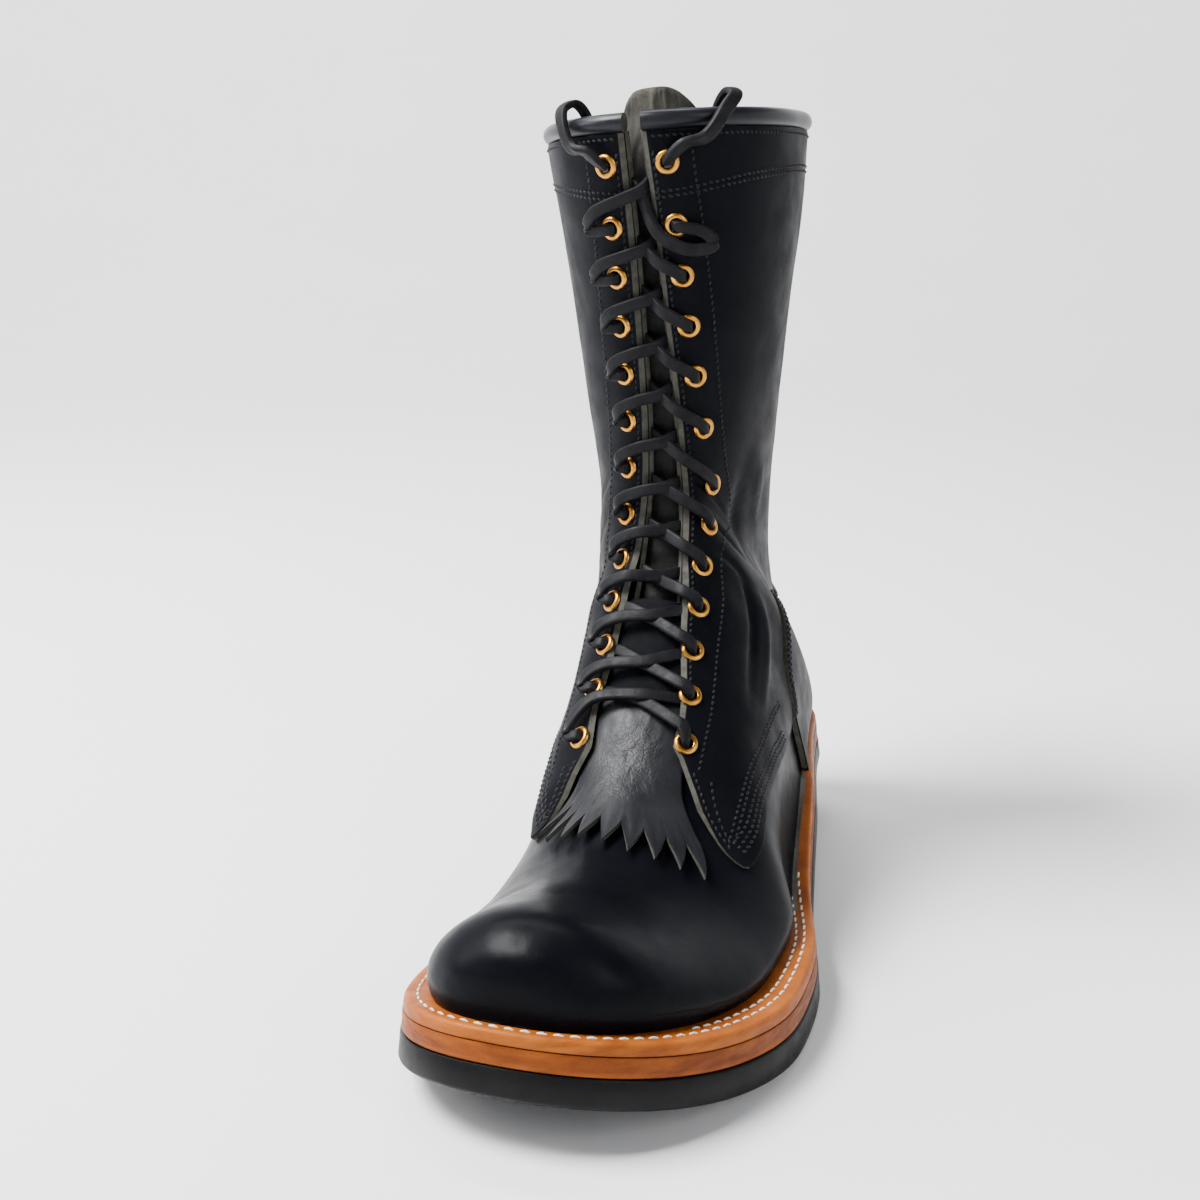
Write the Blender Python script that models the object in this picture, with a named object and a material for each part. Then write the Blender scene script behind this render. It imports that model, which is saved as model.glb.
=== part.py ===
"""Left lace-up boot with a fringed kiltie, a stitched welt and a stacked heel.

All sizes are millimetres. The boot stands on z = 0, its toe points to -Y and its outer (lateral)
side faces +X. Distances called d run forward from the back of the heel.
"""

import math

import bmesh
import bpy
import numpy as np

MM = 0.001
GAP = 0.3
HEEL_MIDDLE = 44.0

# Sole: outline, profile and layers
SOLE_LENGTH = 310.0
HEEL_ROUND = 35.0
TOE_ROUND = 82.0
TOE_POWER = 2.25
TOE_SPRING = 18.0
BALL_FRONT = 222.0
BALL_BACK = 178.0
BREAST = 88.0
BREAST_LEAN = 7.0
HEEL_RISE = 25.0
SEAT_SLOPE = 0.05
OUTSOLE_FRONT = 10.0
OUTSOLE_BACK = 8.5
MIDSOLE = 6.4
WELT = 4.2
WELT_WIDTH = 21.0
LIFT = 12.4
INSOLE = 3.0
SOLE_STATIONS = 30

SOLE_WIDTHS = (
    # d, lateral, medial
    (0, 33.5, 34),
    (45, 37, 36),
    (100, 47, 34.5),
    (150, 55.3, 41),
    (200, 66.5, 51.5),
    (232, 66.5, 54.5),
    (264, 61.5, 58),
    (310, 52.5, 65.5),
)

# Upper: how far its foot stands inside the sole's edge, and its sections
WALL = 2.0
TOE_MARGIN = 9.5
HEEL_MARGIN = 4.5
BULGE = 2.0
UPPER_MARGINS = (
    # d, lateral, medial
    (0, 4.5, 4.5),
    (40, 7.0, 4.3),
    (90, 7.0, 4.0),
    (150, 8.3, 6.0),
    (200, 12.8, 9.5),
    (250, 13.0, 11.0),
    (310, 11.0, 12.0),
)
HEEL_ROW = 13
COLLAR_ROW = 21
UPPER_SECTIONS = (
    # front x, d, z; back x, d, z; lateral and medial half width, share to the widest, two roundings
    (-4.0, 300.5, 36.0, -4.0, 300.5, 0, 0, 0, 0.80, 1.9, 2.0),       # toe tip
    (-4.0, 298.8, 49.0, -4.0, 298.8, 0, 0, 0, 0.80, 1.9, 2.0),       # toe front
    (-4.5, 293.5, 56.5, -4.0, 293.5, 0, 0, 0, 0.80, 1.85, 2.0),      # toe shoulder
    (-5.0, 282.0, 61.6, -4.0, 282.0, 0, 0, 0, 0.81, 1.75, 2.0),      # toe top
    (-4.8, 264.0, 59.6, -3.0, 264.0, 0, 0, 0, 0.84, 1.48, 2.0),      # behind the toe box
    (-4.0, 241.0, 54.6, -1.0, 241.0, 0, 0, 0, 0.85, 1.4, 2.0),       # vamp dip
    (-4.0, 216.0, 57.2, 1.0, 214.0, 0, 0, 0, 0.86, 1.36, 2.0),       # ball
    (-4.8, 193.0, 69.2, 1.0, 189.0, 0, 0, 0, 0.84, 1.45, 2.0),       # vamp rise
    (-5.5, 172.5, 88.5, 0.5, 162.0, 0, 46.0, 42.0, 0.77, 1.75, 2.0),   # throat base
    (-6.5, 160.5, 100.0, -0.5, 131.0, 0, 42.0, 39.2, 0.72, 1.85, 2.0),  # low instep
    (-8.0, 148.5, 114.0, -1.0, 98.0, 0, 39.0, 39.0, 0.68, 1.85, 2.0),  # instep
    (-9.0, 138.5, 127.0, -1.0, 60.0, 0, 36.5, 39.6, 0.62, 1.9, 2.1),   # high instep
    (-9.8, 131.0, 140.5, -1.0, 24.0, 0, 35.0, 40.4, 0.55, 1.95, 2.2),  # ankle bend
    (-10.2, 127.0, 152.0, -1.0, 4.5, 0, 26.2, 41.0, 0.51, 2.0, 2.2),   # heel foot
    (-10.5, 125.5, 162.0, -3.5, 2.5, 75.0, 18.8, 40.0, 0.50, 2.0, 2.2),  # heel bulge
    (-10.8, 125.8, 173.5, -8.5, 8.0, 104.0, 20.5, 37.8, 0.50, 2.0, 2.2),  # above the heel
    (-11.2, 127.3, 188.0, -13.0, 15.0, 132.0, 25.5, 37.4, 0.50, 2.0, 2.2),  # ankle
    (-12.0, 130.0, 204.5, -17.0, 19.5, 162.0, 31.2, 38.0, 0.51, 2.0, 2.2),  # low shaft
    (-13.0, 133.5, 224.0, -20.0, 21.0, 195.0, 36.5, 39.0, 0.52, 2.0, 2.2),  # mid shaft
    (-14.0, 138.0, 245.5, -22.0, 19.5, 229.0, 41.0, 41.2, 0.53, 2.0, 2.2),  # high shaft
    (-15.2, 143.0, 266.5, -23.0, 16.5, 260.0, 45.0, 43.8, 0.54, 2.0, 2.2),  # top band
    (-16.5, 148.0, 286.5, -24.0, 13.0, 289.0, 47.0, 46.6, 0.55, 2.0, 2.2),  # collar
    (-17.5, 153.0, 310.0, -25.0, 10.0, 320.0, 49.0, 49.0, 0.55, 2.0, 2.2),  # tongue only
)
COLLAR_TILT = 0.06
SECTION_STEP = 0.5
UPPER_COLUMNS = 9

# Pieces laid on the upper
QUARTER = 1.4
KILTIE = 1.4
COUNTER = 2.6
LIFTED = 2.8
THROAT_ROW = 8.2
THROAT_GAPS = (
    # section, half gap
    (5, 14.0),
    (8, 14.0),
    (10, 10.0),
    (13, 7.0),
    (17, 5.0),
    (21, 3.2),
)
QUARTER_TIP = 6.75
QUARTER_STARTS = (
    # section, share down the side: the quarter's front edge below the throat
    (6.75, 0.25),
    (7.0, 0.19),
    (7.5, 0.13),
    (8.2, 0.0),
)
QUARTER_ENDS = (
    # section, share down the side: the quarter's lower edge, then the counter's front and top edges
    (6.75, 0.305),
    (7.8, 0.355),
    (9.0, 0.43),
    (9.8, 0.50),
    (10.3, 0.53),
    (10.75, 0.45),
    (11.5, 0.41),
    (12.5, 0.41),
    (13.0, 0.43),
    (13.5, 0.49),
    (14.0, 0.60),
    (14.5, 0.73),
    (15.0, 0.86),
    (15.5, 0.995),
)
COUNTER_FOOT = 10.05
COUNTER_CORNER = 10.4
COUNTER_HEAD = 15.5
COUNTER_CLEAR = 0.9
SEAM = 0.0025
KILTIE_HALF = (
    # section, lateral and medial half width
    (5.5, 42.0, 36.0),
    (6.3, 33.5, 29.0),
    (6.7, 25.5, 20.5),
    (7.0, 21.0, 17.5),
    (7.7, 18.0, 16.8),
    (8.5, 17.0, 16.2),
    (10.6, 14.0, 14.0),
)
KILTIE_TEETH = 9
KILTIE_TIP = 5.85
KILTIE_BOW = 0.42
KILTIE_SKEW = 0.2
TOOTH = 0.42
KILTIE_TOP = 10.6
TONGUE = 2.0
TONGUE_HALF = 22.0
TONGUE_TOP_HALF = 20.5
TONGUE_RISE = 0.48
ROLL_RADIUS = 3.7

# Eyelets and lace
EYELETS = 13
EYELET_TOP = 10.5
EYELET_TOP_PITCH = 21.3
EYELET_PITCH = 17.5
EYELET_RADIUS = 3.8
EYELET_HOLE = 2.1
EYELET_HEIGHT = 1.2
EYELET_CLEAR = 0.5
EYELET_HALVES = (
    # pair from the top, half spacing
    (0, 10.5),
    (4, 12.3),
    (7, 14.0),
    (10, 14.3),
    (12, 17.5),
)
LACE_WIDTH = 5.0
LACE_THICK = 2.6


def smooth(table, at):
    """Read a table's later columns where its first column is `at`, along a smooth curve."""
    rows = np.array(table, dtype=float)
    keys = rows[:, 0]
    values = rows[:, 1:]
    slopes = np.gradient(values, keys, axis=0)
    i = int(np.clip(np.searchsorted(keys, at) - 1, 0, len(keys) - 2))
    step = keys[i + 1] - keys[i]
    u = (at - keys[i]) / step
    return (
        (2 * u**3 - 3 * u**2 + 1) * values[i]
        + (u**3 - 2 * u**2 + u) * step * slopes[i]
        + (3 * u**2 - 2 * u**3) * values[i + 1]
        + (u**3 - u**2) * step * slopes[i + 1]
    )


def ease(low, high, at):
    u = min(max((at - low) / (high - low), 0.0), 1.0)
    return u * u * (3 - 2 * u)


def sole_sides(d, lateral_in, medial_in, toe_in, heel_in):
    """The outline's two edges at d, for an outline drawn in by the given margins."""
    along = (d - heel_in) / (SOLE_LENGTH - heel_in - toe_in) * SOLE_LENGTH
    lateral, medial = smooth(SOLE_WIDTHS, along)
    middle = (lateral - medial) / 2
    half = (lateral + medial) / 2
    full = 1.0
    if along < HEEL_ROUND:
        full = math.sqrt(max(0.0, 1 - ((HEEL_ROUND - along) / HEEL_ROUND) ** 2))
    toe_start = SOLE_LENGTH - TOE_ROUND
    if along > toe_start:
        full = max(0.0, 1 - ((along - toe_start) / TOE_ROUND) ** TOE_POWER) ** (1 / TOE_POWER)
    return middle + (half - lateral_in) * full, middle - (half - medial_in) * full


def tread(d):
    """Height of the outsole's underside: flat at the ball, rising to the toe and over the arch."""
    if d > BALL_FRONT:
        return TOE_SPRING * ((d - BALL_FRONT) / (SOLE_LENGTH - BALL_FRONT)) ** 1.9
    rise = HEEL_RISE * ease(0, BALL_BACK - BREAST, BALL_BACK - d)
    return rise + SEAT_SLOPE * max(0.0, BREAST - d)


def outsole_top(d):
    return tread(d) + OUTSOLE_FRONT + (OUTSOLE_BACK - OUTSOLE_FRONT) * ease(0, 90, BALL_BACK - d)


def midsole_top(d):
    return outsole_top(d) + GAP + MIDSOLE


def welt_top(d):
    return midsole_top(d) + GAP + WELT


def feather(d):
    """Where the foot of the upper meets the welt: its two edges at d and its height."""
    lateral_in, medial_in = smooth(UPPER_MARGINS, d)
    lateral, medial = sole_sides(d, lateral_in, medial_in, TOE_MARGIN, HEEL_MARGIN)
    return lateral, medial, welt_top(d) + GAP + 0.1


def section_rows():
    """The section table with its foot rows set on the welt and bulged past the feather line."""
    rows = []
    for i, row in enumerate(UPPER_SECTIONS):
        row = list(row)
        if i <= HEEL_ROW:
            lateral, medial, row[5] = feather(row[4])
            if row[6] == 0:
                row[6] = lateral - row[3] + BULGE * min(1, i / 2)
                row[7] = row[3] - medial + BULGE * min(1, i / 2)
        rows.append((i, *row))
    rows[0] = rows[0][:3] + (rows[0][6],) + rows[0][4:]
    return rows


SECTIONS = section_rows()


def base_point(s, t, side):
    """The upper's outer form: s is the section, t runs from the front ridge to its lower end."""
    if t < 0:
        return base_point(s, -t, -side)
    ringed = s >= HEEL_ROW
    if t > 1:
        return base_point(s, 2 - t, -side) if ringed else base_point(s, 1, side)
    fx, fd, fz, bx, bd, bz, lateral, medial, widest, front, back = smooth(SECTIONS, s)
    half = lateral if side > 0 else medial
    end = 0.0
    if not ringed:
        edges = feather(bd)
        bz = edges[2]
        end = abs((edges[0] if side > 0 else edges[1]) - bx)
    if t <= 0.5:
        turn = math.pi * t
        out = half * math.sin(turn) ** (2 / front)
        down = widest * (1 - max(0.0, math.cos(turn)) ** (2 / front))
    else:
        turn = math.pi * (t - 0.5)
        out = end + (half - end) * max(0.0, math.cos(turn)) ** (2 / back)
        down = widest + (1 - widest) * math.sin(turn) ** (2 / back)
    start = np.array((fx, fd, fz))
    stop = np.array((bx, bd, bz))
    tilt = COLLAR_TILT * ease(HEEL_ROW + 2, COLLAR_ROW, s)
    return start + (stop - start) * down + np.array((side * out, 0, side * out * tilt))


def outward(s, t, side):
    """Unit normal of the upper's form; level along its foot, so that a wall stands on the welt."""
    if s < 0.01:
        return np.array((0.0, 1.0, 0.0))
    ds = min(0.03, s / 2)
    dt = 0.012
    along = base_point(s + ds, t, side) - base_point(s - ds, t, side)
    across = base_point(s, t + dt, side) - base_point(s, t - dt, side)
    seam = t > 0.999 and s >= HEEL_ROW
    if seam or t < 0.001:
        along[0] = 0
        across = np.array((1.0, 0.0, 0.0))
    normal = np.cross(along, across)
    fx, fd, fz, bx, bd, bz = smooth(SECTIONS, s)[:6]
    middle = np.array(((fx + bx) / 2, fd * 0.4 + bd * 0.6, fz * 0.4 + bz * 0.6))
    if np.dot(normal, base_point(s, t, side) - middle) < 0:
        normal = -normal
    if s < HEEL_ROW:
        normal[2] *= 1 - ease(0.8, 1.0, t)
    else:
        normal[2] *= max(ease(HEEL_ROW, HEEL_ROW + 0.7, s), 1 - ease(0.8, 1.0, t))
    return normal / np.linalg.norm(normal)


def upper_point(s, t, side, grow):
    return base_point(s, t, side) + outward(s, t, side) * grow


def share_at(s, half, side):
    """How far down the side the upper is `half` away from its ridge."""
    ridge = base_point(s, 0, side)[0]
    low = 0.0
    high = 0.5
    for _ in range(30):
        t = (low + high) / 2
        if abs(base_point(s, t, side)[0] - ridge) < half:
            low = t
        else:
            high = t
    return (low + high) / 2


def throat_share(s, side):
    s = max(s, 8.0)
    return share_at(s, float(smooth(THROAT_GAPS, min(s, COLLAR_ROW))[0]), side)


def lifted(s, t):
    """How far the quarters ride up over the kiltie near the bottom of the throat."""
    along = ease(6.7, 7.3, s) * (1 - ease(KILTIE_TOP + 0.2, KILTIE_TOP + 1.4, s))
    return LIFTED * along * (1 - ease(0.24, 0.42, t))


def quarter_top(s, t):
    return GAP + 0.15 + lifted(s, t) + QUARTER


boot = bpy.data.collections.new("kiltie_boot")
cutters = bpy.data.collections.new("cutters")
for old in list(bpy.data.objects):
    bpy.data.objects.remove(old)
bpy.context.scene.collection.children.link(boot)
bpy.context.scene.collection.children.link(cutters)


def paint(obj, colour, rough, metal=0.0):
    material = bpy.data.materials.new(obj.name)
    material.use_nodes = True
    shader = material.node_tree.nodes["Principled BSDF"]
    shader.inputs["Base Color"].default_value = (*colour, 1)
    shader.inputs["Roughness"].default_value = rough
    shader.inputs["Metallic"].default_value = metal
    obj.data.materials.append(material)


def solid(name, points, faces, group=boot):
    """A closed mesh from points (x, d, z) and faces, its normals turned outwards."""
    mesh = bpy.data.meshes.new(name)
    mesh.from_pydata([(x * MM, (HEEL_MIDDLE - d) * MM, z * MM) for x, d, z in points], [], faces)
    work = bmesh.new()
    work.from_mesh(mesh)
    bmesh.ops.recalc_face_normals(work, faces=work.faces)
    work.to_mesh(mesh)
    work.free()
    obj = bpy.data.objects.new(name, mesh)
    group.objects.link(obj)
    return obj


def inset(amount):
    return amount, amount, lambda d: (amount, amount)


def inside_upper(amount):
    heel_in = HEEL_MARGIN + amount + 1.5
    return TOE_MARGIN + amount, heel_in, lambda d: smooth(UPPER_MARGINS, d) + amount + 5 * ease(0, 60, 120 - d)


def sole_ring(margins, height, end=None):
    """One closed loop of a sole layer: along the lateral edge to the toe and back."""
    toe_in, heel_in, sides = margins
    whole = end is None
    stop = SOLE_LENGTH - toe_in if whole else end
    lateral = []
    medial = []
    for i in range(SOLE_STATIONS + 1):
        turn = math.pi * i / SOLE_STATIONS
        share = (1 - math.cos(turn)) / 2 if whole else 1 - math.cos(turn / 2)
        d = heel_in + (stop - heel_in) * share
        lateral_x, medial_x = sole_sides(d, *sides(d), toe_in, heel_in)
        lateral.append((lateral_x, d, height(d)))
        medial.append((medial_x, d, height(d)))
    last = SOLE_STATIONS - 1 if whole else SOLE_STATIONS
    return lateral + [medial[i] for i in range(last, 0, -1)]


def layer(name, rings, hollow=False):
    """A sole layer from its loops: capped below and above, or a hollow frame that closes on itself."""
    count = len(rings[0])
    points = [p for ring in rings for p in ring]
    faces = []
    for k in range(len(rings) if hollow else len(rings) - 1):
        low = k * count
        high = (k + 1) % len(rings) * count
        for j in range(count):
            n = (j + 1) % count
            faces.append((low + j, low + n, high + n, high + j))
    if not hollow:
        for start in (0, (len(rings) - 1) * count):
            for i in range(SOLE_STATIONS):
                loop = (i, i + 1, (count - i - 1) % count, (count - i) % count)
                faces.append([start + j for j in dict.fromkeys(loop)])
    return solid(name, points, faces)


# Sole
outsole = layer("outsole", (
    sole_ring(inset(0.8), tread),
    sole_ring(inset(0.0), lambda d: tread(d) + 1.5),
    sole_ring(inset(1.0), outsole_top),
))
paint(outsole, (0.012, 0.012, 0.013), 0.6)

midsole = layer("midsole", (
    sole_ring(inset(1.2), lambda d: outsole_top(d) + GAP),
    sole_ring(inset(1.8), midsole_top),
))
paint(midsole, (0.42, 0.2, 0.07), 0.55)

welt = layer("welt", (
    sole_ring(inset(1.9), lambda d: midsole_top(d) + GAP),
    sole_ring(inset(2.6), lambda d: welt_top(d) - 0.6),
    sole_ring(inset(3.2), welt_top),
    sole_ring(inset(WELT_WIDTH), welt_top),
    sole_ring(inset(WELT_WIDTH), lambda d: midsole_top(d) + GAP + 0.3),
), hollow=True)
paint(welt, (0.45, 0.22, 0.08), 0.55)

insole = layer("insole", (
    sole_ring(inside_upper(WALL + 2.4), lambda d: welt_top(d) + GAP + 0.2),
    sole_ring(inside_upper(WALL + 2.4), lambda d: welt_top(d) + GAP + 0.2 + INSOLE),
))
paint(insole, (0.36, 0.22, 0.12), 0.7)

heel_stack = layer("heel_stack", (
    sole_ring(inset(3.0), lambda d: LIFT + GAP, BREAST - BREAST_LEAN / 2),
    sole_ring(inset(1.4), lambda d: tread(d) - GAP, BREAST),
))
paint(heel_stack, (0.4, 0.19, 0.07), 0.5)

heel_lift = layer("heel_lift", (
    sole_ring(inset(4.0), lambda d: 0.0, BREAST - BREAST_LEAN),
    sole_ring(inset(3.2), lambda d: 1.5, BREAST - BREAST_LEAN),
    sole_ring(inset(3.0), lambda d: LIFT, BREAST - BREAST_LEAN / 2),
))
paint(heel_lift, (0.012, 0.012, 0.013), 0.6)


def sheet(name, rows, low, high, skip=None):
    """A piece of the upper's form between two growths, from rows of (section, share, side)."""
    spots = {}
    faces = []

    def corner(spot):
        s, t, side = spot
        if s < 0.001:
            spot = (0.0, 0.0, 1)
        elif t < 0.001:
            spot = (s, 0.0, 1)
        elif t > 0.999 and s >= HEEL_ROW:
            spot = (s, 1.0, 1)
        key = (round(spot[0], 5), round(spot[1], 5), spot[2])
        return spots.setdefault(key, len(spots))

    for row, after in zip(rows, rows[1:]):
        for i in range(len(row) - 1):
            if skip and skip(row[i], row[i + 1]):
                continue
            quad = [row[i], row[i + 1], after[i + 1], after[i]]
            if row[i][1] > row[i + 1][1]:
                quad = quad[1:] + quad[:1]
            for cut in ((0, 1, 2), (0, 2, 3)):
                loop = list(dict.fromkeys(corner(quad[k]) for k in cut))
                if len(loop) == 3:
                    faces.append(loop)
    outer = [upper_point(*spot, high(*spot)) for spot in spots]
    inner = [upper_point(*spot, low(*spot)) for spot in spots]
    count = len(spots)
    edges = {(f[i - 1], f[i]) for f in faces for i in range(len(f))}
    rim = [(b, a, a + count, b + count) for a, b in edges if (b, a) not in edges]
    inside = [[v + count for v in reversed(f)] for f in faces]
    return solid(name, outer + inner, faces + inside + rim)


def across(s, shares):
    """One row over both sides: lateral end first, the ridge in the middle."""
    lateral = [(s, t, 1) for t in reversed(shares[0])]
    medial = [(s, t, -1) for t in shares[1]]
    return lateral + [(s, 0.0, 1)] + medial


def spread(start, stop, count):
    return [start + (stop - start) * i / count for i in range(count + 1)]


def columns(s, side):
    return spread(throat_share(s, side), 1, UPPER_COLUMNS)


def quarter_end(s):
    """How far down the side the quarter reaches at a section."""
    if s > COUNTER_HEAD:
        return 1 - SEAM
    return min(float(smooth(QUARTER_ENDS, s)[0]), 1 - SEAM)


# Upper: one hollow wall, left out between the throat's edges
low_steps = spread(0, 16, int(16 / SECTION_STEP))
extra_steps = (0.25, THROAT_ROW, 10.25, 10.4, 10.75, 13.75, 14.25, 14.75, 15.25)
upper_steps = sorted({*low_steps, *extra_steps, *range(17, COLLAR_ROW + 1)} - {8.0})
upper_rows = [across(step, [columns(step, side) for side in (1, -1)]) for step in upper_steps]
upper = sheet(
    "upper",
    upper_rows,
    lambda s, t, side: -WALL,
    lambda s, t, side: 0.0,
    lambda a, b: a[0] >= THROAT_ROW - 0.01 and min(a[1], b[1]) < 0.001,
)
paint(upper, (0.012, 0.012, 0.014), 0.3)

# Quarters: outer shaft leather over the vamp, from the laced edge to the back seam
for name, side in (("quarter_lateral", 1), ("quarter_medial", -1)):
    rows = []
    for s in [QUARTER_TIP] + [s for s in upper_steps if s > QUARTER_TIP + 0.1]:
        start = float(smooth(QUARTER_STARTS, s)[0]) if s < THROAT_ROW else 0.0
        rows.append([(s, min(max(t, start), quarter_end(s)), side) for t in columns(s, side)])
    quarter = sheet(
        name,
        rows,
        lambda s, t, side: GAP + 0.15 + lifted(s, t),
        lambda s, t, side: quarter_top(s, t),
    )
    paint(quarter, (0.012, 0.012, 0.014), 0.3)

# Heel counter: a thicker piece round the heel, from the welt up to a curved top edge
def counter_start(s):
    if s >= COUNTER_CORNER:
        return min(quarter_end(s) + 2 * SEAM, 1.0)
    top = quarter_end(COUNTER_CORNER) + 2 * SEAM
    return 1 - (1 - top) * (s - COUNTER_FOOT) / (COUNTER_CORNER - COUNTER_FOOT)


counter_rows = []
for s in [COUNTER_FOOT] + [s for s in upper_steps if COUNTER_FOOT + 0.1 < s <= COUNTER_HEAD]:
    stop = 1.0 if s >= HEEL_ROW else COUNTER_CLEAR
    lateral = [(s, min(max(t, counter_start(s)), stop), 1) for t in columns(s, 1)]
    medial = [(s, min(max(t, counter_start(s)), stop), -1) for t in columns(s, -1)]
    counter_rows.append(lateral + medial[::-1])
heel_counter = sheet(
    "heel_counter",
    counter_rows,
    lambda s, t, side: GAP + 0.25 + 0.35 * ease(0.75, 0.9, t),
    lambda s, t, side: GAP + 0.15 + COUNTER,
    lambda a, b: a[2] != b[2],
)
paint(heel_counter, (0.012, 0.012, 0.014), 0.3)


# Kiltie: a tapering flap over the vamp whose free end is cut into teeth
def kiltie_low(s, t, side):
    return GAP + 2.2 * (1 - ease(KILTIE_TIP, 7.4, s))


def kiltie_high(s, t, side):
    return kiltie_low(s, t, side) + KILTIE


kiltie_rows = []
for u in spread(0, 1, 7):
    row = []
    for i in range(2 * KILTIE_TEETH + 1):
        place = 1 - i / KILTIE_TEETH
        side = 1 if place >= 0 else -1
        tip = KILTIE_TIP + KILTIE_BOW * place**2 - KILTIE_SKEW * place
        tooth = tip + TOOTH if i % 2 == 0 else tip
        s = tooth + (KILTIE_TOP - tooth) * u
        half = float(smooth(KILTIE_HALF, s)[0 if side > 0 else 1]) * abs(place)
        row.append((s, share_at(s, half, side) if half > 0.01 else 0.0, side))
    kiltie_rows.append(row)
kiltie = sheet("kiltie", kiltie_rows, kiltie_low, kiltie_high)
paint(kiltie, (0.013, 0.013, 0.014), 0.4)


# Tongue: inside the throat, leaning back behind the collar, with a rounded top
def tongue_high(s, t, side):
    return -(WALL + 1.2 + 5.0 * ease(17.5, COLLAR_ROW, s) + 8.0 * ease(20, COLLAR_ROW + 0.7, s))


def tongue_low(s, t, side):
    return tongue_high(s, t, side) - TONGUE


tongue_rows = []
for u in spread(0, 1, 20):
    row = []
    for v in spread(-1, 1, 6):
        top = COLLAR_ROW + TONGUE_RISE * math.sqrt(1 - 0.92 * v * v)
        s = 7.6 + (top - 7.6) * u
        half = (TONGUE_HALF + (TONGUE_TOP_HALF - TONGUE_HALF) * ease(16, COLLAR_ROW, s)) * abs(v)
        side = 1 if v <= 0 else -1
        row.append((s, share_at(s, half, side) if half > 0.01 else 0.0, side))
    tongue_rows.append(row)
tongue = sheet("tongue", tongue_rows, tongue_low, tongue_high)
paint(tongue, (0.014, 0.014, 0.014), 0.5)


def cord(name, path, up, width, thick, sides, group=boot):
    """A closed cord along a path, its section laid flat against the given directions."""
    points = []
    for i, spot in enumerate(path):
        ahead = path[min(i + 1, len(path) - 1)] - path[max(i - 1, 0)]
        ahead = ahead / np.linalg.norm(ahead)
        wide = np.cross(ahead, up[i])
        wide = wide / np.linalg.norm(wide)
        flat = np.cross(wide, ahead)
        for k in range(sides):
            turn = 2 * math.pi * (k + 0.5) / sides
            points.append(spot + wide * width / 2 * math.cos(turn) + flat * thick / 2 * math.sin(turn))
    faces = []
    for i in range(len(path) - 1):
        for k in range(sides):
            n = (k + 1) % sides
            faces.append((i * sides + k, i * sides + n, (i + 1) * sides + n, (i + 1) * sides + k))
    faces.append(list(range(sides)))
    faces.append([(len(path) - 1) * sides + k for k in range(sides)])
    return solid(name, points, faces, group)


# Rolled edge along the collar, its cut ends at the throat
roll_path = []
roll_up = []
edge_shares = [throat_share(COLLAR_ROW, side) for side in (1, -1)]
roll_spots = [(t, 1) for t in spread(edge_shares[0], 1, 15)]
roll_spots += [(t, -1) for t in reversed(spread(edge_shares[1], 1, 15)[:-1])]
for t, side in roll_spots:
    spot = upper_point(COLLAR_ROW, t, side, (QUARTER + GAP - WALL) / 2)
    roll_path.append(spot + np.array((0, 0, ROLL_RADIUS + GAP + 0.6)))
    roll_up.append(np.array((0.0, 0.0, 1.0)))
collar_roll = cord("collar_roll", roll_path, roll_up, 2 * ROLL_RADIUS, 2 * ROLL_RADIUS, 8)
paint(collar_roll, (0.012, 0.012, 0.014), 0.35)


def ridge_row(distance):
    """The section whose front ridge lies `distance` below the collar, measured along the ridge."""
    s = float(COLLAR_ROW)
    run = 0.0
    here = base_point(s, 0, 1)
    while run < distance:
        s -= 0.01
        spot = base_point(s, 0, 1)
        run += np.linalg.norm(spot - here)
        here = spot
    return s


# Eyelets, counted from the top pair down
eyelet_rows = []
for k in range(EYELETS):
    below = EYELET_TOP + (EYELET_TOP_PITCH + EYELET_PITCH * (k - 1) if k else 0)
    eyelet_rows.append((ridge_row(below), float(smooth(EYELET_HALVES, k)[0])))
for k, (s, half) in enumerate(eyelet_rows):
    for name, side in (("lateral", 1), ("medial", -1)):
        t = share_at(s, half, side)
        up = outward(s, t, side)
        foot = base_point(s, t, side) + up * (quarter_top(s, t) + EYELET_CLEAR)
        wide = np.cross(up, (1.0, 0.0, 0.0))
        wide = wide / np.linalg.norm(wide)
        tall = np.cross(up, wide)
        profile = (
            (EYELET_HOLE, 0.0),
            (EYELET_RADIUS, 0.0),
            (EYELET_RADIUS - 0.7, EYELET_HEIGHT),
            (EYELET_HOLE + 0.3, EYELET_HEIGHT),
        )
        ring = []
        for j in range(8):
            turn = 2 * math.pi * j / 8
            way = wide * math.cos(turn) + tall * math.sin(turn)
            ring += [foot + way * r + up * h for r, h in profile]
        faces = []
        for j in range(8):
            n = (j + 1) % 8
            for i in range(4):
                m = (i + 1) % 4
                faces.append((4 * j + i, 4 * j + m, 4 * n + m, 4 * n + i))
        eyelet = solid(f"eyelet_{name}_{EYELETS - k:02d}", ring, faces)
        paint(eyelet, (0.6, 0.38, 0.14), 0.3, 1.0)


# Lace: two zigzags over the throat, joined where they cross, and a bar over the lowest pair
def lace_height(s, t):
    return quarter_top(s, t) + EYELET_CLEAR + EYELET_HEIGHT + 0.8 + LACE_THICK / 2


def lace_line(name, stops, group, rise=0.0):
    path = []
    up = []
    for (s0, x0), (s1, x1) in zip(stops, stops[1:]):
        for i in range(4):
            u = i / 4
            s = s0 + (s1 - s0) * u
            x = x0 + (x1 - x0) * u
            side = 1 if x >= 0 else -1
            t = share_at(s, abs(x), side) if abs(x) > 0.01 else 0.0
            path.append(upper_point(s, t, side, lace_height(s, t) + rise))
            up.append(outward(s, t, side))
    s, x = stops[-1]
    side = 1 if x >= 0 else -1
    t = share_at(s, abs(x), side)
    path.append(upper_point(s, t, side, lace_height(s, t) + rise))
    up.append(outward(s, t, side))
    return cord(name, path, up, LACE_WIDTH, LACE_THICK, 4, group)


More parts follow.
